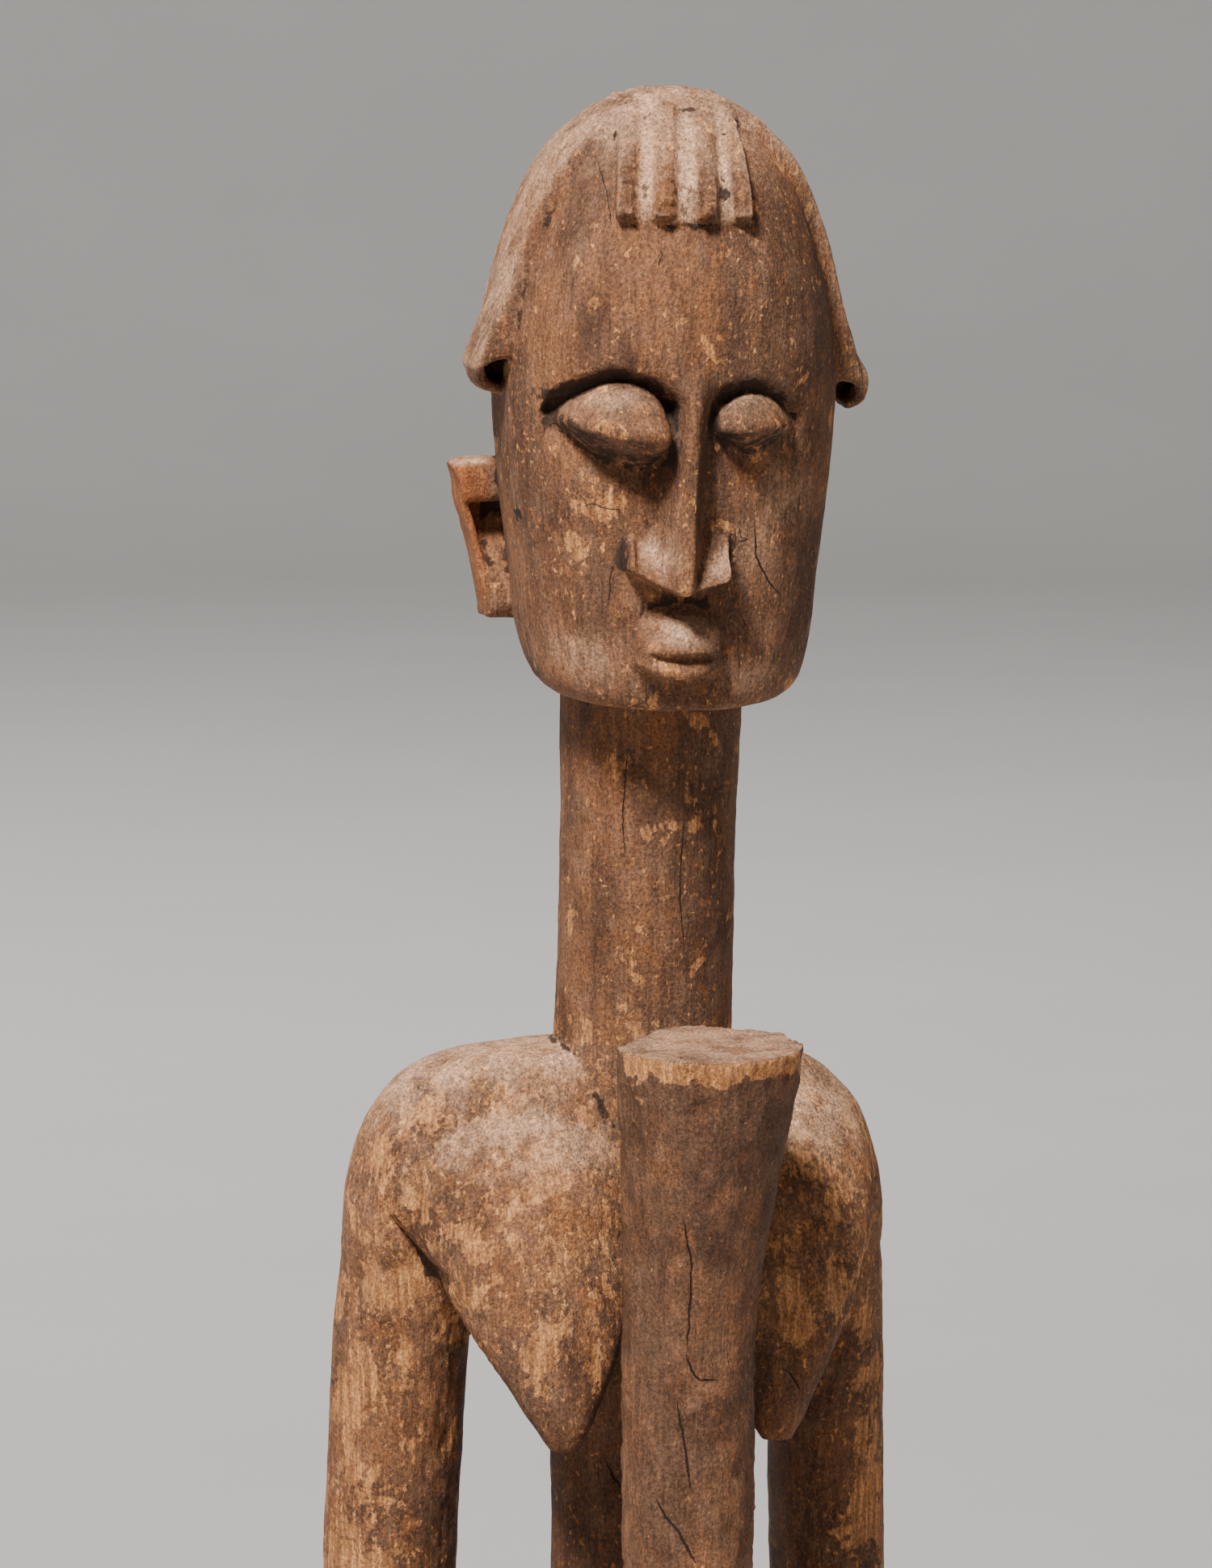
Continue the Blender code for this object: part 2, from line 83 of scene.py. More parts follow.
# Height above the chin, half width, depth in front and depth behind
HEAD_STATIONS = (
    (1.0, 18.6, 28.0, 11.0),
    (2.0, 24.2, 30.4, 15.4),
    (4.5, 28.0, 31.2, 18.5),
    (9.0, 30.0, 31.4, 22.5),
    (17.0, 31.6, 31.6, 28.0),
    (28.0, 32.6, 31.4, 33.0),
    (45.0, 34.7, 31.0, 39.5),
    (61.0, 35.9, 32.0, 43.5),
    (74.0, 35.8, 34.4, 44.5),
    (84.0, 34.3, 34.6, 44.0),
    (94.0, 31.9, 33.4, 41.8),
    (103.0, 28.9, 30.8, 37.8),
    (111.0, 25.6, 27.4, 32.6),
    (117.6, 21.6, 23.0, 27.0),
    (123.2, 16.6, 17.4, 20.6),
    (127.0, 10.6, 11.0, 13.0),
    (128.8, 4.0, 4.0, 4.6),
)
JAW_RISE = 5.0
FACE_SQUARENESS = 2.35
# Each eye: the line of its brow, of its upper lid and of its lower lid as x and z, its rise and its socket's depth
EYES = (
    {
        "brow": ((-32.2, 62.5), (-30.6, 66.6), (-27.0, 70.8), (-18.0, 74.2), (-10.9, 72.6), (-5.0, 69.0)),
        "upper": ((-28.4, 62.6), (-26.0, 66.4), (-19.0, 70.9), (-12.2, 70.4), (-7.4, 66.8), (-5.4, 60.4)),
        "lower": ((-28.4, 62.2), (-24.6, 58.6), (-18.0, 54.8), (-11.4, 53.4), (-7.4, 55.2), (-5.4, 60.0)),
        "rise": 9.6,
        "cut": 5.0,
    },
    {
        "brow": ((1.4, 65.0), (3.6, 69.6), (8.4, 71.9), (12.8, 71.9), (18.0, 69.9), (21.6, 66.4)),
        "upper": ((3.6, 61.8), (4.9, 65.4), (8.4, 68.2), (12.6, 68.8), (17.6, 66.8), (21.6, 62.0)),
        "lower": ((3.6, 61.4), (5.2, 58.8), (8.6, 57.2), (12.6, 57.0), (17.6, 58.8), (21.6, 61.6)),
        "rise": 7.2,
        "cut": 2.8,
    },
)
NOSE_ROOT = 71.0
NOSE_TIP = 27.2
NOSE_RISE = 11.0
NOSE_LEAN = (-1.2, -4.4)
NOSE_WING = 10.6
MOUTH_CENTRE = (-3.2, 13.9)
MOUTH_HALF_WIDTH = 9.6
MOUTH_RISE = 7.8
# Each braid's place across the forehead, its place at the crown and its half width
BRAIDS = (
    (-15.2, -10.9, 2.4),
    (-7.4, -3.4, 2.6),
    (1.2, 4.6, 2.2),
    (9.0, 8.9, 2.0),
)
CREST_FRONT = 104.6
CREST_RISE = 3.8
CREST_EDGES = (-17.6, 10.8)
CAP_RISE = 3.3
CAP_FRONT = -9.5
CAP_HEMS = {-1: 70.5, 1: 65.0}
CAP_HEM_BEHIND = 36.0
LOCK_FLARE = 4.8
LEFT_LOCK_SHARE = 0.6
LOCK_DROOP = 4.0
# The curl at the end of each lock: x, z, half thickness and half depth
LOCK_CURLS = (
    ((-40.2, 76.0, 1.2, 5.0), (-41.6, 71.8, 1.4, 5.5), (-40.2, 68.4, 1.4, 5.2), (-37.0, 67.0, 1.2, 4.4)),
    ((39.6, 74.0, 1.4, 5.0), (42.0, 69.4, 1.6, 5.5), (41.6, 65.0, 1.6, 5.2), (38.6, 62.8, 1.3, 4.4)),
)
# The wood behind each curl: x, z, half thickness and half depth
LOCK_BACKS = (
    ((-31.0, 72.0, 5.0, 3.0), (-36.0, 72.2, 4.8, 3.0), (-40.8, 72.4, 3.6, 2.6)),
    ((31.0, 69.0, 6.0, 3.0), (36.0, 69.0, 5.6, 3.0), (41.2, 69.2, 4.2, 2.6)),
)
LOCK_PLACE = -1.0
EAR_HEIGHT = (14.8, 49.6)
# How far each ear reaches out at its foot and at its top
EAR_REACH = {-1: (36.0, 41.6), 1: (34.6, 38.4)}
EAR_PLACE = 20.0

# x, y, z, half width and half depth
TRUNK = (
    (0, 20, 388, 20, 15),
    (0, 20, 350, 19, 18.5),
    (0, 20, 310, 18, 18),
    (0, 20, 280, 17.6, 17.6),
    (0, 19, 245, 18.6, 18.6),
    (0, 18, 215, 21.5, 20.5),
    (0, 20, 188, 26, 22),
    (0, 24, 165, 28.5, 23),
    (0, 24, 146, 22, 18),
)
SHOULDERS = (
    (-2.4, 22, 395, 15, 9),
    (-4.0, 22, 393.6, 31, 13),
    (-4.4, 22.5, 391, 41.5, 16.5),
    (-3.8, 23, 385, 50, 20),
    (-3.2, 23.5, 377, 55.6, 23.5),
    (-3.0, 23.5, 366, 59.2, 25.5),
    (-2.8, 24, 355, 60.6, 25),
    (-2.4, 27, 344, 60.4, 20),
    (-1.8, 31, 335, 57, 12.5),
    (-1.6, 34, 329, 50, 5),
)
BREAST = (
    (12, 21, 392, 12, 4),
    (15, 20, 388, 20, 10),
    (20, 18, 381, 26, 16),
    (24, 14.5, 370, 27.5, 19.5),
    (25.2, 9.5, 357, 25.8, 19),
    (25, 3, 345, 21.4, 15.5),
    (24.5, -3, 334, 16.4, 11.6),
    (24, -8, 324, 10.8, 8),
    (23.8, -11.2, 316, 6.4, 5.2),
    (23.6, -12.6, 311, 3.2, 2.6),
)
ARM = (
    (40, 25, 366, 12, 12),
    (44.8, 27, 352, 14.8, 16.5),
    (47.4, 30.5, 328, 14.8, 15.6),
    (48.8, 33.5, 290, 14.7, 15),
    (50.0, 34.5, 250, 14.4, 15),
    (50.0, 33.6, 235, 12.8, 13.8),
    (50.0, 32.8, 227, 9.4, 10.4),
    (50.0, 32.2, 224, 3.4, 4.0),
)
ELBOW = (50.0, 34.5, 244.0)
ARM_OUTWARD = {-1: 2.0, 1: -0.2}
ARM_WIDTH_SHARES = {-1: 1.0, 1: 0.86}
FOREARM_THICKNESS = (14.0, 13.2, 11.8, 9.6)
HAND_HEIGHTS = {-1: 237.0, 1: 211.0}
HAND_HALF_HEIGHT = 11.5
HAND_THICKNESS = 7.0
LEG = (
    (13, 24, 172, 14, 18),
    (18, 21, 150, 17, 19),
    (23, 12, 118, 16, 17),
    (26, 5, 92, 12.8, 13.2),
    (26.5, 14, 64, 13.8, 15),
    (27, 20, 38, 10.4, 11.2),
    (27, 21, 16, 9.4, 10.4),
    (27, 20, -6, 10, 14),
)
FOOT = (
    (27, 37, 5, 6, 7),
    (27, 32, 6, 9.5, 9),
    (27.5, 15, 6, 10.6, 9.4),
    (29, -1, 3.5, 11.6, 7),
    (29.5, -8, 1.5, 9, 4.5),
)

# In metres: how far the carving stays inside its solid's box, and the height below which it is made flat
BOX_MARGIN = 0.00002
FLAT_BELOW = 0.0009
# Where each light stands, the place it points at and its size, in metres
LIGHTS = {
    "key_light": ((-0.70, -0.80, 1.92), (0.0, 0.0, 0.50), 0.36),
    "fill_light": ((1.6, -1.6, 0.7), (0.0, 0.0, 0.40), 1.2),
    "backdrop_light": ((0.0, 2.2, 3.6), (0.0, 7.6, 0.2), 1.6),
}
CAMERA_AIM = (-0.0063, 0.018, 0.4786)
FLOOR_REACH = 7.0
SWEEP_RADIUS = 2.0
WALL_TOP = 5.0

# Cracks seen from the front: the width of the gap, then x and z along it
FACE_CRACKS = (
    (0.34, ((13.2, 43.0), (13.4, 40.1), (13.6, 34.1), (15.9, 29.7), (18.6, 26.2), (20.8, 24.2))),
    (0.20, ((8.3, 42.7), (8.9, 39.0), (9.2, 35.8))),
    (0.22, ((8.1, 27.3), (8.3, 25.0), (8.7, 22.1))),
    (0.24, ((9.9, 22.9), (10.9, 20.4), (12.6, 17.7))),
    (0.24, ((-21.7, 45.4), (-18.0, 44.4), (-14.8, 44.2))),
    (0.16, ((-16.4, 34.5), (-17.4, 29.0), (-17.6, 22.6))),
    (0.22, ((-9.9, 8.0), (-9.6, 5.6), (-9.8, 2.8))),
    (0.18, ((10.0, 14.9), (10.3, 11.0), (10.2, 6.2))),
    (0.34, ((-8.0, 98.6), (-8.4, 97.3), (-9.1, 95.6))),
    (0.14, ((-17.7, 102.3), (-18.0, 110.0), (-19.2, 119.1))),
    (0.90, ((-33.6, 42.4), (-33.2, 39.4))),
)
BODY_CRACKS = (
    (0.42, ((-6.1, 366.7), (-4.5, 359.6), (-3.6, 356.1), (-3.4, 349.3), (-3.8, 342.4), (-4.3, 335.5))),
    (0.42, ((-4.3, 335.5), (-3.0, 332.0), (-1.3, 329.9), (3.1, 330.0))),
    (0.36, ((-6.2, 327.0), (-5.1, 320.1), (-4.1, 314.8), (-3.7, 309.6), (-2.6, 305.3))),
    (0.50, ((-10.1, 304.8), (-8.0, 300.6), (-5.6, 297.6), (-3.6, 293.6), (-1.7, 290.0))),
    (0.30, ((-6.4, 288.0), (-5.0, 272.0), (-5.8, 258.0))),
    (0.30, ((-55.2, 338.8), (-54.6, 328.0), (-54.3, 317.4))),
    (0.34, ((55.9, 319.1), (52.2, 310.2), (47.6, 301.3), (41.0, 298.0))),
    (0.30, ((24.4, 326.9), (26.4, 324.6), (28.1, 321.4))),
    (0.26, ((5.2, 448.0), (4.4, 430.0), (5.8, 412.0))),
    (0.22, ((-7.0, 462.0), (-7.8, 446.0), (-7.2, 436.0))),
)
# The crease between each breast and its arm, given like a crack: its depth, then x and z along it
ARM_CREASES = ((1.0, ((45.5, 344.0), (49.3, 348.3), (55.8, 356.6), (59.0, 362.0))),)
# Soft spots of the face's finish: x, z, half width, half height and strength
FACE_GOLD = (
    (-20.0, 47.0, 8.0, 8.0, 0.9),
    (-25.0, 34.0, 6.0, 9.0, 0.7),
    (-12.0, 42.0, 4.0, 5.0, 0.6),
    (-24.0, 94.0, 8.0, 12.0, 0.45),
    (-14.0, 86.0, 12.0, 8.0, 0.25),
    (4.0, 90.0, 10.0, 6.0, 0.3),
    (14.0, 80.0, 10.0, 8.0, 0.3),
    (-14.0, 63.0, 7.0, 3.0, 0.35),
    (13.0, 62.0, 6.0, 4.0, 0.35),
    (24.0, 70.0, 4.0, 14.0, 0.35),
    (-16.0, 25.0, 4.0, 6.0, 0.4),
    (14.0, 92.0, 6.0, 8.0, 0.3),
)
FACE_DUST = (
    (20.0, 47.0, 7.0, 8.0, 0.55),
    (14.0, 36.0, 7.0, 8.0, 0.35),
    (-22.0, 12.0, 10.0, 6.0, 0.5),
    (12.0, 8.0, 13.0, 5.0, 0.4),
    (-3.5, 19.5, 6.5, 3.0, 0.9),
    (-9.0, 35.0, 3.4, 3.4, 1.0),
    (3.8, 34.6, 3.4, 3.4, 1.0),
    (-17.0, 68.0, 8.0, 2.2, 0.6),
)
# The dark spots paint shade in the eyes' inner corners, along the left brow and below the left nose wing, and dark
# crust on the right cheek and the forehead
FACE_CRUST_AND_SHADE = (
    (-30.0, 68.0, 3.0, 2.2, 0.9),
    (-6.0, 57.0, 3.0, 5.0, 0.8),
    (4.0, 57.0, 2.6, 4.0, 0.6),
    (-15.0, 19.0, 3.0, 5.0, 0.35),
    (18.0, 20.0, 6.0, 8.0, 0.25),
    (-12.0, 76.0, 14.0, 3.0, 0.35),
    (0.0, 97.0, 8.0, 5.0, 0.2),
)


def through(stations, count):
    """Points on one smooth curve through the stations: a Catmull-Rom spline, for all columns at once."""
    p = np.asarray(stations, float)
    ends = np.vstack([2 * p[0] - p[1], p, 2 * p[-1] - p[-2]])
    t = np.linspace(0, len(p) - 1, count)
    i = np.minimum(t.astype(int), len(p) - 2)
    f = (t - i)[:, None]
    a, b, c, d = ends[i], ends[i + 1], ends[i + 2], ends[i + 3]
    return 0.5 * (2 * b + (c - a) * f + (2 * a - 5 * b + 4 * c - d) * f**2 + (3 * b - a - 3 * c + d) * f**3)


def step(low, high, value):
    """0 below low, 1 above high, with the cubic 3t^2 - 2t^3 between them."""
    t = np.clip((value - low) / (high - low), 0, 1)
    return t * t * (3 - 2 * t)


def bell(value, width):
    """e to the minus square of value over width."""
    return np.exp(-((value / width) ** 2))


def around_circle(count, squareness=2.0):
    """Cosine and sine round a circle, each raised to 2 / squareness with its sign kept, to square it."""
    angle = np.linspace(0, 2 * math.pi, count, endpoint=False)
    power = 2 / squareness
    return tuple(np.sign(v) * np.abs(v) ** power for v in (np.cos(angle), np.sin(angle)))


def skin(rings, closed=True):
    """Joins rings of points into one surface that faces away from its middle: squares between neighbours and, where
    it is closed, a fan to each end's mean."""
    count, around, _ = rings.shape
    index = np.arange(count * around).reshape(count, around)
    here, above = index[:-1], index[1:]
    squares = np.stack([here, np.roll(here, -1, 1), np.roll(above, -1, 1), above], -1).reshape(-1, 4)
    points = rings.reshape(-1, 3)
    fans = np.zeros((0, 3), int)
    if closed:
        low, high = count * around, count * around + 1
        first, last = index[0], index[-1]
        lower = np.stack([np.roll(first, -1), first, np.full(around, low)], -1)
        upper = np.stack([last, np.roll(last, -1), np.full(around, high)], -1)
        fans = np.concatenate([lower, upper])
        points = np.concatenate([points, rings[0].mean(0)[None], rings[-1].mean(0)[None]])
    a, b, c, d = (points[squares[:, i]] for i in range(4))
    facing = ((a + c) / 2 - points.mean(0)) * np.cross(c - a, d - b)
    if facing.sum() < 0:
        squares, fans = squares[:, ::-1], fans[:, ::-1]
    return points, squares, fans


def limb(stations, toward, around=72, along=120, squareness=2.0):
    """A rounded section carried along a path and kept square to it. The stations give x, y, z, half width and
    half depth; depth lies along the direction called toward, made square to the path."""
    s = through(stations, along)
    centre, wide, deep = s[:, :3], s[:, 3:4], s[:, 4:5]
    tangent = np.gradient(centre, axis=0)
    tangent /= np.linalg.norm(tangent, axis=1, keepdims=True)
    hint = np.broadcast_to(np.asarray(toward, float), tangent.shape)
    depth_way = hint - (hint * tangent).sum(1, keepdims=True) * tangent
    depth_way /= np.linalg.norm(depth_way, axis=1, keepdims=True)
    width_way = np.cross(depth_way, tangent)
    c, w = around_circle(around, squareness)
    rings = centre[:, None] + (wide * c)[..., None] * width_way[:, None]
    return skin(rings + (deep * w)[..., None] * depth_way[:, None])


def level_rings(stations, around=120, along=120, squareness=2.0):
    """Level rounded sections stacked up: x, y, z, half width and half depth run smoothly through the stations."""
    s = through(stations, along)
    c, w = around_circle(around, squareness)
    level = np.broadcast_to(s[:, 2:3], (along, around))
    return skin(np.stack([s[:, 0:1] + s[:, 3:4] * c, s[:, 1:2] + s[:, 4:5] * w, level], -1))


def turned(profile, centre, around=240):
    """A profile of radius and height turned round an upright axis."""
    p = np.asarray(profile, float)
    c, w = around_circle(around)
    level = np.broadcast_to(p[:, 1:2], (len(p), around))
    return skin(np.stack([centre[0] + p[:, 0:1] * c, centre[1] + p[:, 0:1] * w, level], -1))


def line_through(rows, x):
    """The height at x of the smooth line through the rows of x and z."""
    line = through(rows, 120)
    return np.interp(x, line[:, 0], line[:, 1])


def eye_relief(x, z):
    """Each eye is a bulge between the lines of its lids: round above its crest, which lies at t = -0.25, and cut
    back below it. It grows with its own width. Its socket falls off under the line of the brow and fades into the
    cheek below the lower lid."""
    relief = np.zeros_like(x)
    for eye in EYES:
        brow, upper, lower = (line_through(eye[name], x) for name in ("brow", "upper", "lower"))
        left, right = eye["brow"][0][0], eye["brow"][-1][0]
        inside = step(left, left + 3.5, x) * (1 - step(right, right + 3.0, x))
        half = np.maximum((upper - lower) / 2, 0.01)
        t = (z - (upper + lower) / 2) / half
        under_brow = 1 - step(-4.0, 0.9, z - brow)
        cheek = 1 - step(-0.5, 8.0, lower - z)
        deeper = 0.5 + 0.5 * step(-1.0, 3.0, z - (upper + lower) / 2)
        relief -= eye["cut"] * inside * under_brow * cheek * deeper
        across = (x > eye["upper"][0][0]) & (x < eye["upper"][-1][0])
        above = np.sqrt(np.clip(1 - ((t + 0.25) / 1.25) ** 2, 0, 1))
        below = 1 - np.clip((-0.25 - t) / 0.75, 0, 1) ** 1.5
        swell = np.where(t > -0.25, above, below) * np.clip(half / 7.0, 0, 1.2) ** 0.6
        relief += (eye["rise"] + 0.25 * eye["cut"]) * swell * across
    return relief


def beside_nose(x, z):
    """How far down the nose a place is, from 0 at its root to 1 at its tip, and how far beside its slanting ridge."""
    down = np.clip((NOSE_ROOT - z) / (NOSE_ROOT - NOSE_TIP), 0, 1)
    return down, x - NOSE_LEAN[0] - (NOSE_LEAN[1] - NOSE_LEAN[0]) * down


def nose_relief(x, z):
    """The nose is a narrow blade that grows towards its tip. Two wings spread from the tip like an arrow's barbs:
    faces scooped out between the blade and an upright outer edge, which rise to a rim along the lower edge. The
    lower edge is cut straight back underneath."""
    down, side = beside_nose(x, z)
    off = np.abs(side)
    foot = 3.8 + 2.0 * down
    flat = 1.0 + 0.9 * down
    blade = (4.2 + (NOSE_RISE - 4.2) * down) * np.clip((foot - off) / (foot - flat), 0, 1)
    blade *= 1 - step(NOSE_ROOT - 7, NOSE_ROOT + 6, z)
    lower_edge = NOSE_TIP + np.where(side < 0, 0.46, 0.26) * off
    top = 39.6 - 0.1 * off
    up = np.clip((z - lower_edge) / (top - lower_edge), 0, 1)
    outer = step(NOSE_WING - 2.0, NOSE_WING - 0.6, off)
    scoop = (9.4 - 0.16 * off) * (1 - up) ** 1.7
    rim = outer * (2.6 + 6.4 * (1 - up)) * step(0.0, 0.1, 1 - up)
    wing = np.maximum(scoop, rim) * (1 - step(NOSE_WING - 0.2, NOSE_WING + 0.5, off)) * (z < top)
    return np.maximum(blade, wing) * step(-0.5, 0.15, z - lower_edge)


def mouth_relief(x, z):
    """The lips stand out like a beak. The upper one is a domed slope down to the edge of the mouth, the lower one a
    thin ledge cut away underneath, and the pointed opening between them is deepest under the upper edge."""
    u = (x - MOUTH_CENTRE[0]) / MOUTH_HALF_WIDTH
    v = z - MOUTH_CENTRE[1]
    dome = np.sqrt(np.clip(1 - np.abs(u) ** 2.1, 0, 1))
    top = 2.6 + 7.6 * np.clip(1 - 0.8 * u * u, 0, 1) ** 0.5
    upper = np.clip((top - v) / (top - 1.0), 0, 1) ** 0.8
    bottom = -5.6 + 3.0 * u * u
    lower = 0.88 * np.clip((v - bottom) / 1.0, 0, 1)
    lips = MOUTH_RISE * dome * np.where(v > 0.6, upper, lower)
    lens = 3.9 * np.clip(1 - np.abs((x - MOUTH_CENTRE[0] - 0.4) / 7.8) ** 1.8, 0, 1)
    edge = 0.9 - 0.5 * u * u
    t = np.clip((v - edge + lens) / np.maximum(lens, 0.02), 0, 1)
    opening = (t > 0) * (t < 1) * (lens > 0.1) * (0.3 + 3.6 * t**2.2) * (1 - step(0.92, 1.0, t))
    return lips - opening * np.clip(dome * 1.3, 0, 1)


def crest_relief(x, y, z):
    """Four braids run from the forehead over the crown and down behind: rows of steep rounded ridges on a thin
    slab that starts with a step, with flat furrows between them."""
    along = np.clip((y + 31) / 20, 0, 1)
    ends = np.where(y > 0, step(40, 42, z), step(CREST_FRONT - 0.4, CREST_FRONT + 0.4, z))
    edges = [edge + (row[1] - row[0]) * along for edge, row in zip(CREST_EDGES, (BRAIDS[0], BRAIDS[-1]))]
    slab = step(edges[0] - 0.4, edges[0] + 0.4, x) * (1 - step(edges[1] - 0.4, edges[1] + 0.4, x))
    ridges = np.zeros_like(x)
    for front, crown, half in BRAIDS:
        d = np.abs(x - front - (crown - front) * along) / half
        ridges = np.maximum(ridges, 1 - step(0.42, 1.22, d))
    lower_at_crown = 1 - 0.45 * step(108, 124, z)
    return CREST_RISE * ends * slab * (0.22 + 0.78 * ridges) * lower_at_crown


def cap_relief(x, y, z):
    """The cap of hair: a roll along its front edge, thin furrows behind the roll, ribs further back, and a lock
    over each ear that flares out to a sharp hem."""
    front = CAP_FRONT - 3.0 * step(100, 124, z)
    behind = y - front
    over_ear = np.where(x < 0, CAP_HEMS[-1], CAP_HEMS[1]) + LOCK_DROOP * (1 - step(8.0, 18.0, y))
    hem = over_ear - (over_ear - CAP_HEM_BEHIND) * step(24.0, 38.0, y)
    above_hem = step(hem - 0.4, hem + 0.4, z)
    roll = step(-1.2, 1.8, behind)
    high = step(2, 9, z - over_ear)
    furrows = 1.1 * bell(behind - 3.6, 0.6) + 0.9 * bell(behind - 7.0, 0.6) + 0.5 * bell(behind - 11.4, 0.7)
    ribs = 0.3 * step(17, 22, behind) * np.cos(2 * math.pi * behind / 5.2)
    flare = LOCK_FLARE * (1 - step(-2, 20, z - over_ear)) ** 1.5 * (1 - step(4.0, 14.0, y))
    flare *= np.where(x < 0, 1, LEFT_LOCK_SHARE)
    thinner = 1 - 0.45 * step(112, 127, z)
    return above_hem * (roll * (thinner * CAP_RISE + flare) - high * (furrows - ribs))


def head(across, along):
    """Level sections, squared a little, with the hair raised along the surface's normal and the face raised
    straight forward."""
    s = through(HEAD_STATIONS, along)
    z, wide, front, back = (s[:, i : i + 1] for i in range(4))
    c, w = around_circle(across, FACE_SQUARENESS)
    x = wide * c
    y = np.where(w < 0, front, back) * w
    z = np.broadcast_to(z, x.shape)
    facing = step(0.05, 0.4, -y / np.maximum(front, 1.0))
    slope = np.broadcast_to(np.gradient(wide[:, 0], s[:, 0])[:, None], x.shape)
    outward = np.stack([c + 0 * x, w + 0 * x, -slope], -1)
    outward /= np.linalg.norm(outward, axis=-1, keepdims=True)
    hair = np.maximum(crest_relief(x, y, z), cap_relief(x, y, z))
    points = np.stack([x, y, z], -1) + hair[..., None] * outward
    droop = LOCK_DROOP * np.clip(hair / 7.5, 0, 1) ** 2 * (1 - step(8, 18, y))
    points[..., 2] -= droop * (1 - step(84, 100, z)) * (y > CAP_FRONT - 3)
    points[..., 1] -= (eye_relief(x, z) + nose_relief(x, z) + mouth_relief(x, z)) * facing
    points[..., 2] += JAW_RISE * (1 - step(0, 30, z)) * step(-12, 24, y)
    return skin(points)


def ears():
    """Each ear stands off the head like a square handle that opens to the front: a thick block above, a thin wall
    outside, a bar below and a back that comes forward at its foot like a scoop."""
    low, high = EAR_HEIGHT
    shapes = []
    for side, (low_reach, high_reach) in EAR_REACH.items():
        block = (
            (side * 24, EAR_PLACE, high - 4.6, 4.6, 5.6),
            (side * (high_reach - 4), EAR_PLACE, high - 4.7, 4.6, 5.6),
            (side * (high_reach - 0.8), EAR_PLACE, high - 4.9, 4.3, 5.3),
            (side * high_reach, EAR_PLACE, high - 5.1, 3.4, 4.8),
        )
        shapes.append(limb(block, (0, 1, 0), squareness=5.0))
        wall = (
            (side * (high_reach - 1.2), EAR_PLACE + 0.6, high - 3, 1.0, 5.0),
            (side * (high_reach - 1.2), EAR_PLACE + 0.8, high - 9, 0.9, 4.8),
            (side * (0.5 * (high_reach + low_reach) - 1.0), EAR_PLACE + 0.8, 0.5 * (low + high), 0.9, 4.8),
            (side * (low_reach - 1.4), EAR_PLACE + 0.4, low + 4, 1.4, 5.0),
            (side * (low_reach - 2.0), EAR_PLACE, low + 0.4, 1.6, 5.0),
        )
        shapes.append(limb(wall, (0, 1, 0), along=80, squareness=5.0))
        bar = (
            (side * 22, EAR_PLACE, low + 2.3, 2.3, 5.4),
            (side * (low_reach - 3), EAR_PLACE, low + 2.3, 2.3, 5.4),
            (side * (low_reach - 0.6), EAR_PLACE, low + 2.5, 2.0, 5.0),
        )
        shapes.append(limb(bar, (0, 1, 0), squareness=5.0))
        scoop = (
            (side * 33, EAR_PLACE + 5.5, high - 3, 7.6, 3.2),
            (side * 32.5, EAR_PLACE + 4.6, 0.62 * high + 0.38 * low, 7.2, 3.4),
            (side * 31.6, EAR_PLACE + 2.2, 0.40 * high + 0.60 * low, 6.2, 4.0),
            (side * 30.4, EAR_PLACE - 0.6, 0.18 * high + 0.82 * low, 5.6, 4.8),
            (side * 29.6, EAR_PLACE - 1.4, low + 2, 5.2, 4.8),
        )
        shapes.append(limb(scoop, (0, 1, 0), along=60, squareness=4.5))
    return shapes


def lock_ends():
    """The lock over each ear ends in a curl: a thin strip carried from its tip round under a hollow, which has
    wood behind it."""
    shapes = []
    for paths, place in ((LOCK_CURLS, LOCK_PLACE), (LOCK_BACKS, LOCK_PLACE + 3.4)):
        for path in paths:
            strip = [(x, place, z, half, deep) for x, z, half, deep in path]
            shapes.append(limb(strip, (0, 1, 0), along=80, squareness=3.0))
    return shapes


def head_turn():
    """The head's rotation: a nod about X, then a turn about Z."""
    n, t = HEAD_NOD, HEAD_TURN
    nod = np.array([[1, 0, 0], [0, math.cos(n), -math.sin(n)], [0, math.sin(n), math.cos(n)]])
    turn = np.array([[math.cos(t), -math.sin(t), 0], [math.sin(t), math.cos(t), 0], [0, 0, 1]])
    return turn @ nod


def in_head_place(shape):
    """Sets a shape made about the chin over the neck, nodded and turned."""
    points, squares, fans = shape
    return points @ head_turn().T + CHIN, squares, fans


def head_places(points):
    """The points as the head has them, with its chin at the origin."""
    return (points - CHIN) @ head_turn()


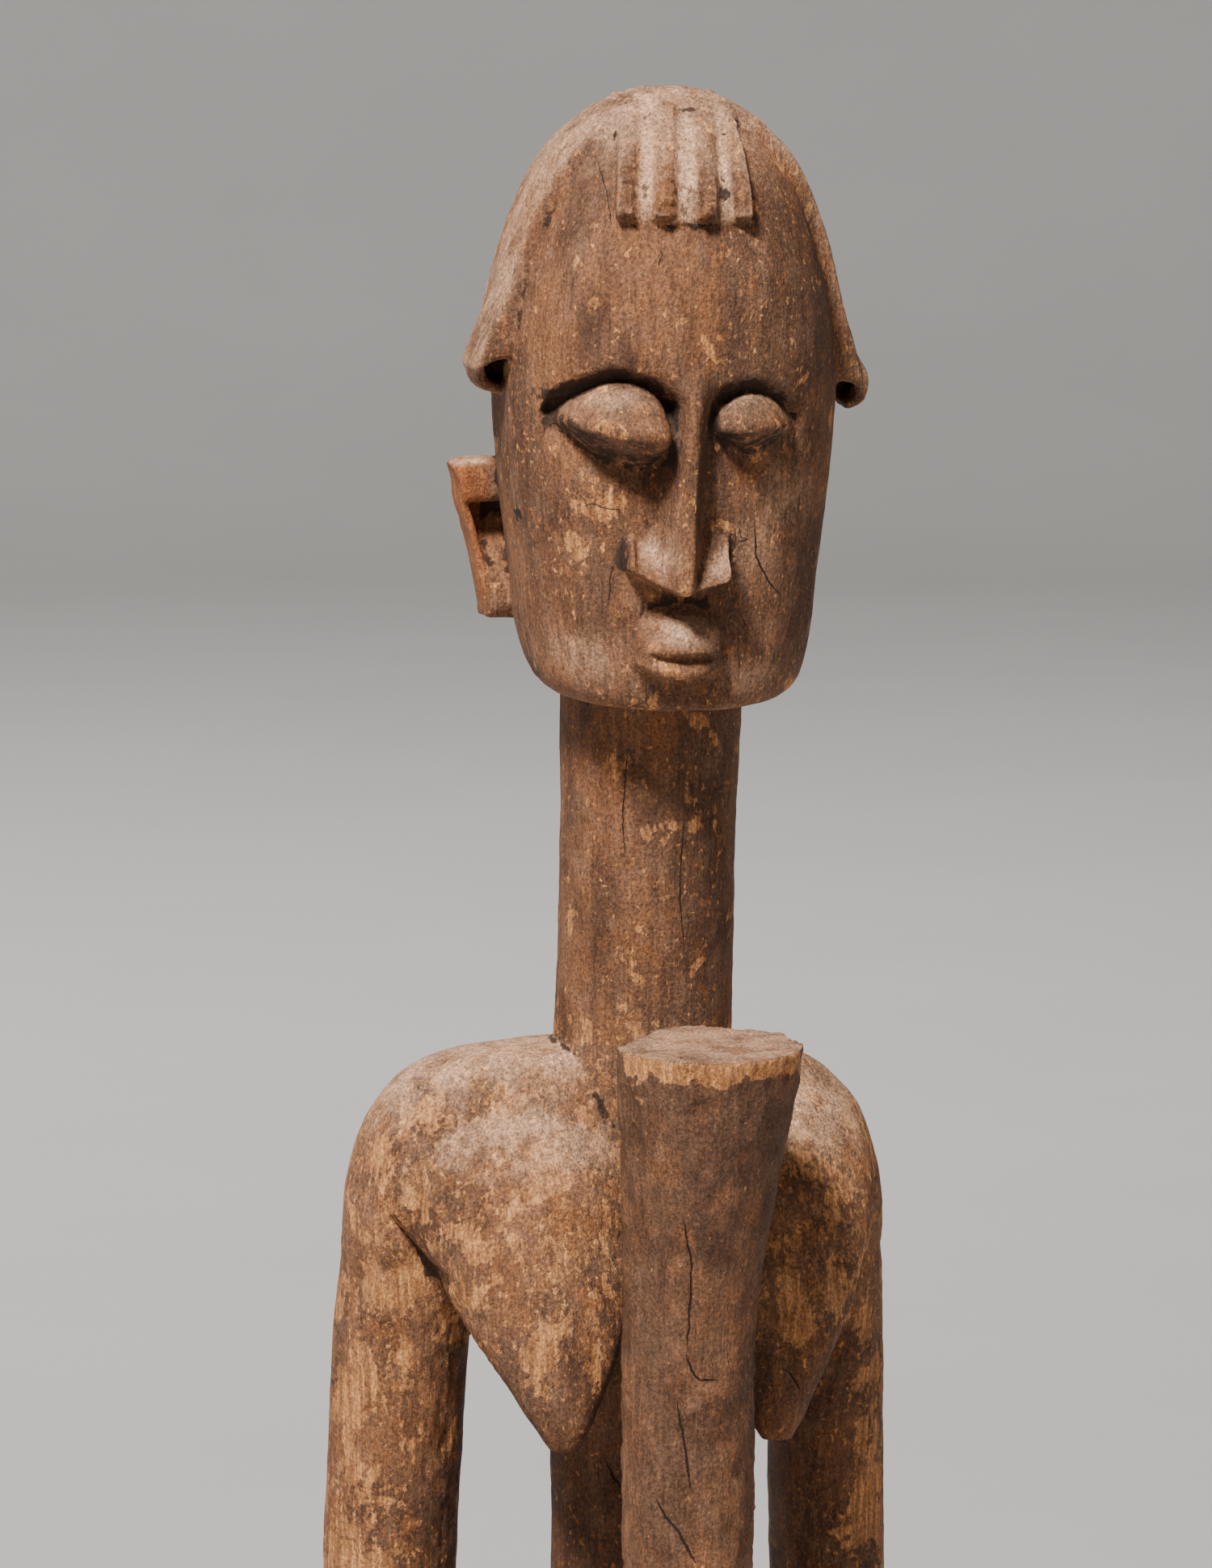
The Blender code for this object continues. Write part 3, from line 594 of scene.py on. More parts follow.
def arm(side, pestle_radius):
    """The upper arm, the forearm and a hand wrapped round the pestle, each a section carried along a path."""
    share, outward, hand_height = ARM_WIDTH_SHARES[side], ARM_OUTWARD[side], HAND_HEIGHTS[side]
    upper = limb([(side * (x + outward), y, z, share * wide, deep) for x, y, z, wide, deep in ARM], (0, 1, 0))
    px, py = PESTLE_AXIS
    grip = pestle_radius + HAND_THICKNESS / 2
    elbow_x, elbow_y, elbow_z = ELBOW
    wrist = (px + side * (grip + 4), py + 16)
    centres = (
        (side * elbow_x, elbow_y, elbow_z),
        (side * (0.72 * elbow_x + 4), 0.5 * (elbow_y + wrist[1]) + 5, 0.5 * (elbow_z + hand_height) - 2),
        (wrist[0] + side * 5, wrist[1] + 4, hand_height),
        (wrist[0], wrist[1] - 6, hand_height),
    )
    fore = limb([(*c, t, t) for c, t in zip(centres, FOREARM_THICKNESS)], (0, 0, 1))
    turns = np.radians((-62, -30, 0, 32, 64, 92, 112))
    sizes = np.array((0.72, 0.9, 1.0, 1.0, 0.97, 0.9, 0.72))
    palm = np.stack(
        [
            px + side * grip * np.cos(turns),
            py - grip * np.sin(turns),
            np.full(7, hand_height),
            HAND_THICKNESS / 2 * sizes,
            HAND_HALF_HEIGHT * sizes,
        ],
        -1,
    )
    return [upper, fore, limb(palm, (0, 0, 1), squareness=2.6)]


def pestle_lean(z):
    """How far the pestle's head has leaned over at height z, from 0 at its neck to 1 at its top."""
    return np.interp(z, (330, 335, 352, 370, 386, PESTLE_TOP), (0.0, 0.02, 0.2, 0.48, 0.76, 1.0))


def pestle(foot_level, radius, head_radius):
    """A round club whose radius runs smoothly through its stations. Its head leans as it flares, is cut off aslant
    and has lost a straight piece of its rim at the back."""
    stations = (
        (foot_level, 1.2 * radius),
        (foot_level + 30, 1.16 * radius),
        (140.0, radius * 0.98),
        (240.0, radius * 0.95),
        (300.0, radius * 0.985),
        (335.0, radius),
        (352.0, radius * 1.05),
        (370.0, radius + 0.45 * (head_radius - radius)),
        (386.0, radius + 0.76 * (head_radius - radius)),
        (PESTLE_TOP - 1.0, head_radius * 0.99),
        (PESTLE_TOP, head_radius * 0.965),
    )
    s = through(stations, 300)
    z, size = s[:, 0:1], s[:, 1:2]
    angle = np.linspace(0, 2 * math.pi, 180, endpoint=False)
    broken = 0.8 / np.maximum(np.cos(angle - math.radians(143)), 0.01)
    share = 1 + (np.minimum(1, broken) - 1) * step(PESTLE_TOP - 46, PESTLE_TOP - 14, z)
    c, w = share * np.cos(angle), share * np.sin(angle)
    x = PESTLE_AXIS[0] + PESTLE_HEAD_LEAN[0] * pestle_lean(z)
    y = PESTLE_AXIS[1] + PESTLE_HEAD_LEAN[1] * pestle_lean(z)
    sloping = step(PESTLE_TOP - 40, PESTLE_TOP, z)
    level = z + math.tan(PESTLE_TOP_SLOPE) * size * w * sloping
    return skin(np.stack([x + size * c, y + size * w, level], -1))


def mortar(sizes, part):
    """A waisted cup turned about the pestle's axis, with a well round the pestle's foot."""
    rim = sizes.mortar_diameter / part / 2
    waist = sizes.mortar_waist / part / 2
    height = sizes.mortar_height / part
    wall = 0.15 * rim
    floor = height - 11.0
    outside = through(
        (
            (rim * 0.90, -10),
            (rim * 0.88, 4),
            (waist, height * 0.42),
            (rim * 0.96, height * 0.86),
            (rim, height - 1.4),
            (rim - 1.4, height),
        ),
        120,
    )
    inside = ((rim - wall, height), (rim - wall - 1.2, floor), (1.0, floor - 0.5))
    return turned(np.vstack([outside, inside]), PESTLE_AXIS), floor


def base(sizes, part):
    """A disc turned about the upright axis, with a quarter round along its upper edge."""
    radius = sizes.base_diameter / part / 2
    thick = sizes.base_thickness / part
    edge = 0.14 * thick
    arc = np.radians(np.linspace(0, 90, 13))
    corner = np.stack([radius - edge + edge * np.cos(arc), -edge + edge * np.sin(arc)], 1)
    profile = np.vstack([(radius * 0.5, -thick), (radius, -thick), corner, (1.0, 0)])
    return turned(profile, (0, 0), around=360)


def all_shapes(sizes, part, fineness):
    """Every form of the block, each closed and biting into its neighbours."""
    mortar_shape, mortar_floor = mortar(sizes, part)
    radius = sizes.pestle_diameter / part / 2
    club = pestle(mortar_floor - 3, radius, sizes.pestle_head / part / 2)
    shapes = [base(sizes, part), mortar_shape, club, level_rings(TRUNK)]
    shapes.append(level_rings(SHOULDERS, around=240, squareness=2.3))
    neck = sizes.neck_diameter / part / 2
    root, end = np.array(NECK_ROOT), np.array(NECK_END)
    swell = ((0, 1.06), (0.18, 1.0), (0.5, 0.975), (0.8, 1.0), (1, 1.01))
    shapes.append(limb([(*(root + (end - root) * t), neck * k, neck * k) for t, k in swell], (0, 1, 0)))
    shapes += [in_head_place(shape) for shape in (head(fineness, fineness), *ears(), *lock_ends())]
    for side in (-1, 1):
        shapes.append(level_rings([(side * x, *rest) for x, *rest in BREAST], squareness=2.2))
        shapes += arm(side, radius)
        for stations, toward in ((LEG, (0, 1, 0)), (FOOT, (0, 0, 1))):
            shapes.append(limb([(side * x, *rest) for x, *rest in stations], toward))
    return shapes


def mesh_of(name, shapes):
    """One mesh that holds all the shapes, filled from whole arrays of points and corners."""
    points, squares, fans = [], [], []
    start = 0
    for shape_points, shape_squares, shape_fans in shapes:
        points.append(shape_points)
        squares.append(shape_squares + start)
        fans.append(shape_fans + start)
        start += len(shape_points)
    points, squares, fans = np.concatenate(points), np.concatenate(squares), np.concatenate(fans)
    corners = np.concatenate([squares.ravel(), fans.ravel()]).astype(np.int32)
    starts = np.concatenate([np.arange(len(squares)) * 4, 4 * len(squares) + np.arange(len(fans)) * 3])
    mesh = bpy.data.meshes.new(name)
    mesh.vertices.add(len(points))
    mesh.vertices.foreach_set("co", points.astype(np.float32).ravel())
    mesh.loops.add(len(corners))
    mesh.loops.foreach_set("vertex_index", corners)
    mesh.polygons.add(len(starts))
    mesh.polygons.foreach_set("loop_start", starts.astype(np.int32))
    mesh.update(calc_edges=True)
    return mesh


def settle(obj):
    """Carries out the object's modifiers in its mesh."""
    bpy.context.view_layer.update()
    graph = bpy.context.evaluated_depsgraph_get()
    obj.data = bpy.data.meshes.new_from_object(obj.evaluated_get(graph))
    obj.modifiers.clear()


def read(items, name, width, kind=np.float32):
    """One property of every vertex or edge as an array."""
    flat = np.empty(len(items) * width, kind)
    items.foreach_get(name, flat)
    return flat.reshape(-1, width)


def store(mesh, name, values):
    """Keeps one number for every vertex as an attribute that the material reads."""
    layer = mesh.attributes.new(name, "FLOAT", "POINT")
    layer.data.foreach_set("value", np.asarray(values, np.float32))


def noise(points, seed):
    """Smooth random hills of about -1 to 1: Perlin's gradient noise, where a hash of each corner of a cell gives
    the gradient, and the eight corners are blended by the quintic fade."""
    cell = np.floor(points).astype(np.int64)
    f = points - cell
    fade = f**3 * (f * (f * 6 - 15) + 10)
    total = np.zeros(len(points))
    for corner in range(8):
        bits = np.array([corner & 1, corner >> 1 & 1, corner >> 2 & 1])
        c = cell + bits
        h = (c[:, 0] * 374761393 + c[:, 1] * 668265263 + c[:, 2] * 1274126177 + seed * 362437) & 0xFFFFFFFF
        h = ((h ^ (h >> 13)) * 1103515245) & 0xFFFFFFFF
        h ^= h >> 15
        gradient = np.stack([h & 255, h >> 8 & 255, h >> 16 & 255], -1) / 127.5 - 1
        weight = np.prod(np.where(bits == 1, fade, 1 - fade), axis=1)
        total += weight * ((f - bits) * gradient).sum(1)
    return total * 1.6


def layered(points, seed, octaves=3):
    """Noise added up in octaves, each twice as fine and half as strong."""
    return sum(noise(points * 2**k, seed + k) / 2**k for k in range(octaves))


def spots(x, z, rows):
    """The strongest of several soft spots at each place: a bell in each direction."""
    found = np.zeros_like(x)
    for cx, cz, wide, high, strength in rows:
        found = np.maximum(found, strength * np.exp(-(((x - cx) / wide) ** 2) - ((z - cz) / high) ** 2))
    return found


def crack_distance(x, z, rows):
    """For each place the signed distance to the nearest crack and the crack's width there, which tapers to nothing
    at both ends. A place is dropped square on each stretch of the line, and the nearest stretch counts."""
    nearest = np.full(x.shape, 40.0)
    width = np.zeros_like(x)
    for gap, line in rows:
        line = np.asarray(line, float)
        stretches = np.linalg.norm(np.diff(line, axis=0), axis=1)
        ends = np.concatenate([[0], np.cumsum(stretches)]) / stretches.sum()
        for i, length in enumerate(stretches):
            way = (line[i + 1] - line[i]) / length
            dx, dz = x - line[i, 0], z - line[i, 1]
            t = np.clip(dx * way[0] + dz * way[1], 0, length)
            away = np.hypot(dx - t * way[0], dz - t * way[1])
            side = np.where(dx * way[1] - dz * way[0] < 0, -1.0, 1.0)
            place = ends[i] + (ends[i + 1] - ends[i]) * t / length
            closer = away < np.abs(nearest)
            nearest = np.where(closer, side * away, nearest)
            width = np.where(closer, gap * np.clip(5 * place * (1 - place), 0, 1), width)
    return nearest, width


def hollows(mesh, rounds):
    """How far each vertex lies inside its surroundings, in metres: the mean of its neighbours, taken again and
    again, less itself, along the normal. It is positive in a hollow and negative on an edge."""
    edges = read(mesh.edges, "vertices", 2, np.int32)
    co = read(mesh.vertices, "co", 3).astype(float)
    normals = read(mesh.vertices, "normal", 3).astype(float)
    start, end = np.concatenate([edges, edges[:, ::-1]]).T
    count = np.bincount(start, minlength=len(co))[:, None].clip(1)
    smooth = co
    found = []
    for i in range(max(rounds)):
        total = np.stack([np.bincount(start, smooth[end, k], len(co)) for k in range(3)], -1)
        smooth = 0.5 * smooth + 0.5 * total / count
        if i + 1 in rounds:
            found.append(((smooth - co) * normals).sum(1))
    return found


def zones_of(points):
    """The zones of the block that carving and finish both need, each from 0 to 1, with the head's own places."""
    x, y, z = points.T
    hx, hy, hz = head_places(points).T
    on_head = step(-1.5, 0.5, hz) * step(462, 466, z)
    lean = pestle_lean(z)
    away_x = x - PESTLE_AXIS[0] - PESTLE_HEAD_LEAN[0] * lean
    away_y = y - PESTLE_AXIS[1] - PESTLE_HEAD_LEAN[1] * lean
    reach = np.hypot(away_x, away_y)
    club_radius = 14.8 + 6.2 * step(330, 400, z)
    along = np.clip((hy + 31) / 20, 0, 1)
    braid = np.zeros_like(x)
    for front, crown, half in BRAIDS:
        braid = np.maximum(braid, 1 - step(0.5, 1.2, np.abs(hx - front - (crown - front) * along) / half))
    crest = step(CREST_EDGES[0] - 0.5, CREST_EDGES[0] + 0.5, hx - (BRAIDS[0][1] - BRAIDS[0][0]) * along)
    crest *= 1 - step(CREST_EDGES[1] - 0.2, CREST_EDGES[1] + 0.8, hx)
    crest *= np.where(hy > 0, step(40, 42, hz), step(CREST_FRONT - 0.4, CREST_FRONT + 0.4, hz))
    hem = np.where(hx < 0, CAP_HEMS[-1], CAP_HEMS[1])
    hem = hem - (hem - CAP_HEM_BEHIND) * step(24.0, 38.0, hy)
    cap = step(-0.8, 1.2, hy - CAP_FRONT + 3.0 * step(100, 124, hz)) * step(hem - 0.6, hem + 0.6, hz)
    ear = step(35.0, 36.4, np.abs(hx)) * (1 - step(50, 51, hz)) * step(13, 14, hz) * step(10, 12, hy)
    return {
        "head": on_head,
        "hx": hx,
        "hy": hy,
        "hz": hz,
        "face": on_head * (1 - step(-12, -4, hy)),
        "club": (1 - step(club_radius, club_radius + 1.6, reach)) * step(62, 68, z) * (1 - step(404, 405, z)),
        "reach": reach,
        "braid": braid * crest * on_head,
        "crest": crest * on_head,
        "cap": cap * on_head * (1 - crest),
        "ear": ear * on_head * (1 - cap),
        "arms": step(36, 40, np.abs(x)) * (1 - step(345, 362, z)) * step(200, 225, z),
        "ground": 1 - step(0.5, 3.0, z),
    }


def carve_marks(points, zones):
    """How far the finished surface lies above the smooth form at each point, in parts: broad knife facets,
    weathered wood, crumbling places, notched braids, fingers and toes."""
    x, y, z = points.T
    warp = 0.35 * noise(points / 11.0, 3)[:, None]
    facets = 0.26 * noise(np.stack([x / 6.5, y / 6.5, z / 15.0], -1) + warp, 5)
    worn = 0.11 * layered(points / np.array([2.4, 2.4, 4.2]), 11)
    relief = (facets + worn) * (1 - 0.45 * zones["face"])
    notch = np.stack([zones["hx"] / 5.0, zones["hy"] / 1.7, zones["hz"] / 1.9], -1)
    relief += zones["braid"] * (0.85 * layered(notch, 31, 2) - 0.3)
    crumbly = step(0.1, 0.5, noise(points / 8.0, 21)) * layered(points / 1.7, 23)
    relief += 0.42 * crumbly * np.maximum(zones["club"] * step(240, 300, z), 0.4 * zones["ear"])
    relief += 0.4 * zones["club"] * layered(points / 5.0, 71, 2)
    inner_arm = zones["arms"] * (1 - step(46, 52, np.abs(x)))
    relief += 0.45 * inner_arm * layered(np.stack([x / 1.8, y / 1.8, z / 6.0], -1), 41)
    for side in (-1, 1):
        level = z - HAND_HEIGHTS[side]
        hand = step(15.6, 17.0, zones["reach"]) * (1 - step(22.5, 24.0, zones["reach"]))
        hand *= (1 - step(11.0, 12.5, np.abs(level))) * (1 - step(-26, -18, y))
        relief -= 1.1 * hand * sum(bell(level - k, 0.8) for k in (-5.8, 0.0, 5.8))
        toes = sum(bell(x - side * k, 0.7) for k in (22.5, 26.6, 30.6, 34.4))
        relief -= 1.0 * toes * (1 - step(9, 12, z)) * (1 - step(-3, 1, y)) * step(0.6, 1.5, z)
    d, width = crack_distance(x, z, BODY_CRACKS)
    front = 1 - step(8, 16, y)
    relief -= 1.6 * width * front * np.clip(1 - np.abs(d) / np.maximum(2.2 * width, 0.01), 0, 1)
    d, depth = crack_distance(np.abs(x), z, ARM_CREASES)
    relief -= 2.6 * depth * front * bell(d, 1.2)
    return relief * step(-26, -22, z)


def finish_zones(points, up, fine, broad, zones):
    """Where the finish changes: worn gold, settled dust, dark crust that also paints shade into the hollows, creases
    and undercuts, dark stain that also paints the shade of the trunk and the inner arms, and cut end grain.
    """
    x, y, z = points.T
    hx, hz, face = zones["hx"], zones["hz"], zones["face"]
    club, head_zone = zones["club"], zones["head"]
    edge = step(0.00004, 0.00022, -fine)
    hollow = step(0.00005, 0.0003, fine)
    deep = step(0.0003, 0.0012, broad)
    soft = 0.5 + 0.5 * noise(points / 12.0, 51)
    shelf = step(0.35, 0.85, up)
    rim = club * step(PESTLE_TOP - 6.0, PESTLE_TOP - 4.4, z + 2.6 * noise(points / 4.0, 61)) * (1 - shelf)
    rim *= 1 - step(-34, -26, y + 0.25 * np.abs(x))
    body = (1 - head_zone) * (1 - club)
    chest = body * step(300, 345, z) * (1 - step(396, 410, z))
    gold = 0.28 + 0.22 * soft
    gold = np.maximum(gold, face * spots(hx, hz, FACE_GOLD))
    gold = np.maximum(gold, 0.85 * chest * (0.6 + 0.4 * soft))
    gold = np.maximum(gold, 0.85 * zones["arms"] * step(41, 53, np.abs(x)) * (0.7 + 0.3 * soft))
    gold = np.maximum(gold, 0.4 * zones["braid"] * (1 - hollow))
    gold = np.maximum(gold, 0.5 * edge)
    gold = np.maximum(gold, 1.3 * rim)
    gold *= 1 - 0.55 * club * (1 - rim)
    dust = 0.1 + 0.25 * shelf * (0.4 + 0.6 * soft)
    dust = np.maximum(dust, face * spots(hx, hz, FACE_DUST))
    dust = np.maximum(dust, 0.95 * (zones["crest"] - zones["braid"]))
    dust = np.maximum(dust, 0.6 * zones["cap"])
    dust = np.maximum(dust, shelf * np.maximum(0.6 * club, 0.95 * zones["ear"]))
    dust = np.maximum(dust, 0.16 * chest)
    dust = np.maximum(dust, 0.8 * step(0.15, 0.7, up) * body * step(345, 380, z))
    dust = np.maximum(dust, 0.55 * head_zone * step(112, 124, hz))
    dust = np.maximum(dust, 0.6 * zones["ground"] * shelf)
    nose = face * (1 - step(14, 17, np.abs(hx + 3))) * step(24, 28, hz) * (1 - step(56, 64, hz))
    # Darkness in the hollows, strongest in the broad ones: crust and painted shade together
    crust_and_shade_amount = (0.75 * deep + 0.3 * hollow) * (1 - 0.8 * np.maximum(nose, zones["ear"]))
    crust_and_shade_amount = np.maximum(crust_and_shade_amount, face * spots(hx, hz, FACE_CRUST_AND_SHADE))
    # A dark line round the outer edge and underside of each nose wing: painted shade of its undercut
    wing_shade_line = bell(np.abs(beside_nose(hx, hz)[1]) - NOSE_WING - 0.7, 0.9)
    wing_shade_line *= step(NOSE_TIP + 2, NOSE_TIP + 5, hz) * (1 - step(38, 41, hz))
    crust_and_shade_amount = np.maximum(crust_and_shade_amount, 0.85 * face * wing_shade_line)
    for eye in EYES:
        brow, upper, lower = (line_through(eye[name], hx) for name in ("brow", "upper", "lower"))
        left, right = eye["brow"][0][0], eye["brow"][-1][0]
        across = face * step(left, left + 2, hx) * (1 - step(right - 3, right + 1, hx))
        # Painted shade, with crust, in the crease under each brow and in a band under each lower lid
        brow_crease_shade = step(-1.4, 0.4, hz - upper) * (1 - step(-1.2, 1.6, hz - brow))
        under_lid_shade = step(-2.4, -0.6, hz - lower) * (1 - step(2.0, 6.4, hz - lower))
        crust_and_shade_amount = np.maximum(crust_and_shade_amount, across * np.maximum(0.78 * brow_crease_shade, 0.62 * under_lid_shade))
    # The inner half of each arm, beside the breast, is darkened: painted shade
    crust_and_shade_amount = np.maximum(crust_and_shade_amount, 0.35 * zones["arms"] * (1 - step(42, 48, np.abs(x))))
    stain_and_shade = club * (1 - rim) * (1 - shelf) * (0.65 + 0.2 * step(330, 372, z))
    stain_and_shade = np.maximum(stain_and_shade, 0.45 * body * step(392, 410, z))
    # The trunk's middle below the breasts is darkened: painted shade behind the pestle and between the breasts
    stain_and_shade = np.maximum(stain_and_shade, 0.7 * body * (1 - step(20, 26, np.abs(x))) * (1 - step(300, 330, z)))
    stain_and_shade = np.maximum(stain_and_shade, 0.7 * (1 - step(310, 324, z)) * step(300, 308, z) * (1 - step(-8, 0, y)) * body)
    # Painted shade on the inner half of each arm
    stain_and_shade = np.maximum(stain_and_shade, 0.4 * zones["arms"] * (1 - step(42, 48, np.abs(x))))
    cut_end = 0.9 * zones["ear"] * (1 - shelf)
    return {"gold": gold, "dust": dust, "crust_and_shade_amount": np.clip(crust_and_shade_amount, 0, 1), "stain_and_shade": stain_and_shade, "cut_end": cut_end}


def add_node(tree, kind, inputs=(), **settings):
    """Adds a node with its settings, and fills its inputs with values or with links from other sockets."""
    node = tree.nodes.new(kind)
    for key, value in settings.items():
        setattr(node, key, value)
    for key, value in dict(inputs).items():
        if isinstance(value, bpy.types.NodeSocket):
            tree.links.new(value, node.inputs[key])
        else:
            node.inputs[key].default_value = value
    return node


def maths(tree, operation, a, b=0.0, clamp=False):
    """The result of one operation on two values or sockets."""
    return add_node(tree, "ShaderNodeMath", {0: a, 1: b}, operation=operation, use_clamp=clamp).outputs[0]


def mixed(tree, factor, a, b):
    """Two colours mixed by a factor."""
    return add_node(tree, "ShaderNodeMix", {0: factor, 6: a, 7: b}, data_type="RGBA").outputs[2]


def ramp(tree, value, low, high, start=0.0, end=1.0):
    """The value's range from low to high spread over start to end, with soft ends."""
    inputs = {"Value": value, "From Min": low, "From Max": high, "To Min": start, "To Max": end}
    return add_node(tree, "ShaderNodeMapRange", inputs, interpolation_type="SMOOTHSTEP").outputs[0]


def grain_noise(tree, place, scale, stretch=(1, 1, 1), detail=4.0, roughness=0.55):
    """Noise on the given coordinates, stretched where the stretch is below 1."""
    moved = add_node(tree, "ShaderNodeMapping", {"Vector": place, "Scale": stretch}).outputs[0]
    inputs = {"Vector": moved, "Scale": scale, "Detail": detail, "Roughness": roughness}
    return add_node(tree, "ShaderNodeTexNoise", inputs).outputs["Fac"]


def new_group(name, inputs, outputs):
    """A shader node group with named sockets: its tree and the sockets of its entry and its exit."""
    tree = bpy.data.node_groups.new(name, "ShaderNodeTree")
    for label, kind, default in inputs:
        tree.interface.new_socket(label, in_out="INPUT", socket_type=kind).default_value = default
    for label, kind in outputs:
        tree.interface.new_socket(label, in_out="OUTPUT", socket_type=kind)
    entry = tree.nodes.new("NodeGroupInput").outputs
    return tree, entry, tree.nodes.new("NodeGroupOutput").inputs


def long_grain_group():
    """Wood grain that runs up the block: fine streaks, short pores and a broad drift."""
    tree, entry, leave = new_group(
        "long_grain",
        [("Place", "NodeSocketVector", (0, 0, 0)), ("Fineness", "NodeSocketFloat", 1.0)],
        [("Streak", "NodeSocketFloat"), ("Pores", "NodeSocketFloat"), ("Drift", "NodeSocketFloat")],
    )
    streak = grain_noise(tree, entry["Place"], 900.0, (1, 1, 0.07), 5.0, 0.6)
    pores = grain_noise(tree, entry["Place"], 2100.0, (1, 1, 0.16), 2.0, 0.5)
    drift = grain_noise(tree, entry["Place"], 60.0, (1, 1, 0.5), 4.0, 0.6)
    tree.links.new(streak, leave["Streak"])
    tree.links.new(maths(tree, "MULTIPLY", ramp(tree, pores, 0.56, 0.66), entry["Fineness"]), leave["Pores"])
    tree.links.new(drift, leave["Drift"])
    return tree


def patches_group():
    """Ragged patches with crisp edges: broken noise cut off at a level that falls as the amount rises."""
    tree, entry, leave = new_group(
        "ragged_patches",
        [
            ("Place", "NodeSocketVector", (0, 0, 0)),
            ("Amount", "NodeSocketFloat", 0.5),
            ("Scale", "NodeSocketFloat", 200.0),
            ("Softness", "NodeSocketFloat", 0.04),
        ],
        [("Mask", "NodeSocketFloat")],
    )
    moved = add_node(tree, "ShaderNodeMapping", {"Vector": entry["Place"], "Scale": (1, 1, 0.8)}).outputs[0]
    inputs = {"Vector": moved, "Scale": entry["Scale"], "Detail": 7.0, "Roughness": 0.62, "Distortion": 0.3}
    value = add_node(tree, "ShaderNodeTexNoise", inputs).outputs["Fac"]
    level = maths(tree, "SUBTRACT", 0.74, maths(tree, "MULTIPLY", entry["Amount"], 0.34))
    high = maths(tree, "ADD", level, entry["Softness"])
    tree.links.new(ramp(tree, value, level, high), leave["Mask"])
    return tree


def dust_group():
    """Dust lying over a colour: denser where the amount is high, broken up by a soft and a gritty noise."""
    tree, entry, leave = new_group(
        "settled_dust",
        [
            ("Place", "NodeSocketVector", (0, 0, 0)),
            ("Base", "NodeSocketColor", (0.1, 0.1, 0.1, 1)),
            ("Dust", "NodeSocketColor", (0.4, 0.35, 0.3, 1)),
            ("Amount", "NodeSocketFloat", 0.5),
        ],
        [("Color", "NodeSocketColor"), ("Cover", "NodeSocketFloat")],
    )
    soft = ramp(tree, grain_noise(tree, entry["Place"], 120.0, (1, 1, 0.7), 5.0, 0.65), 0.34, 0.62, 0.35, 1.15)
    grit = ramp(tree, grain_noise(tree, entry["Place"], 1500.0, (1, 1, 1), 3.0, 0.7), 0.3, 0.7, -0.25, 0.25)
    cover = maths(tree, "MULTIPLY", entry["Amount"], maths(tree, "ADD", soft, grit), clamp=True)
    tree.links.new(mixed(tree, cover, entry["Base"], entry["Dust"]), leave["Color"])
    tree.links.new(cover, leave["Cover"])
    return tree


def crack_group():
    """A dark line where the distance to a crack is less than its width, with the distance shaken a little."""
    tree, entry, leave = new_group(
        "crack_line",
        [
            ("Place", "NodeSocketVector", (0, 0, 0)),
            ("Distance", "NodeSocketFloat", 1.0),
            ("Width", "NodeSocketFloat", 0.0),
        ],
        [("Mask", "NodeSocketFloat")],
    )
    shake = maths(tree, "MULTIPLY", maths(tree, "SUBTRACT", grain_noise(tree, entry["Place"], 420.0), 0.5), 0.9)
    away = maths(tree, "ABSOLUTE", maths(tree, "ADD", entry["Distance"], shake))
    gap = maths(tree, "ADD", maths(tree, "MULTIPLY", entry["Width"], 0.65), 0.001)
    inside = maths(tree, "SUBTRACT", 1.0, maths(tree, "DIVIDE", away, gap), clamp=True)
    tree.links.new(ramp(tree, inside, 0.0, 0.55), leave["Mask"])
    return tree


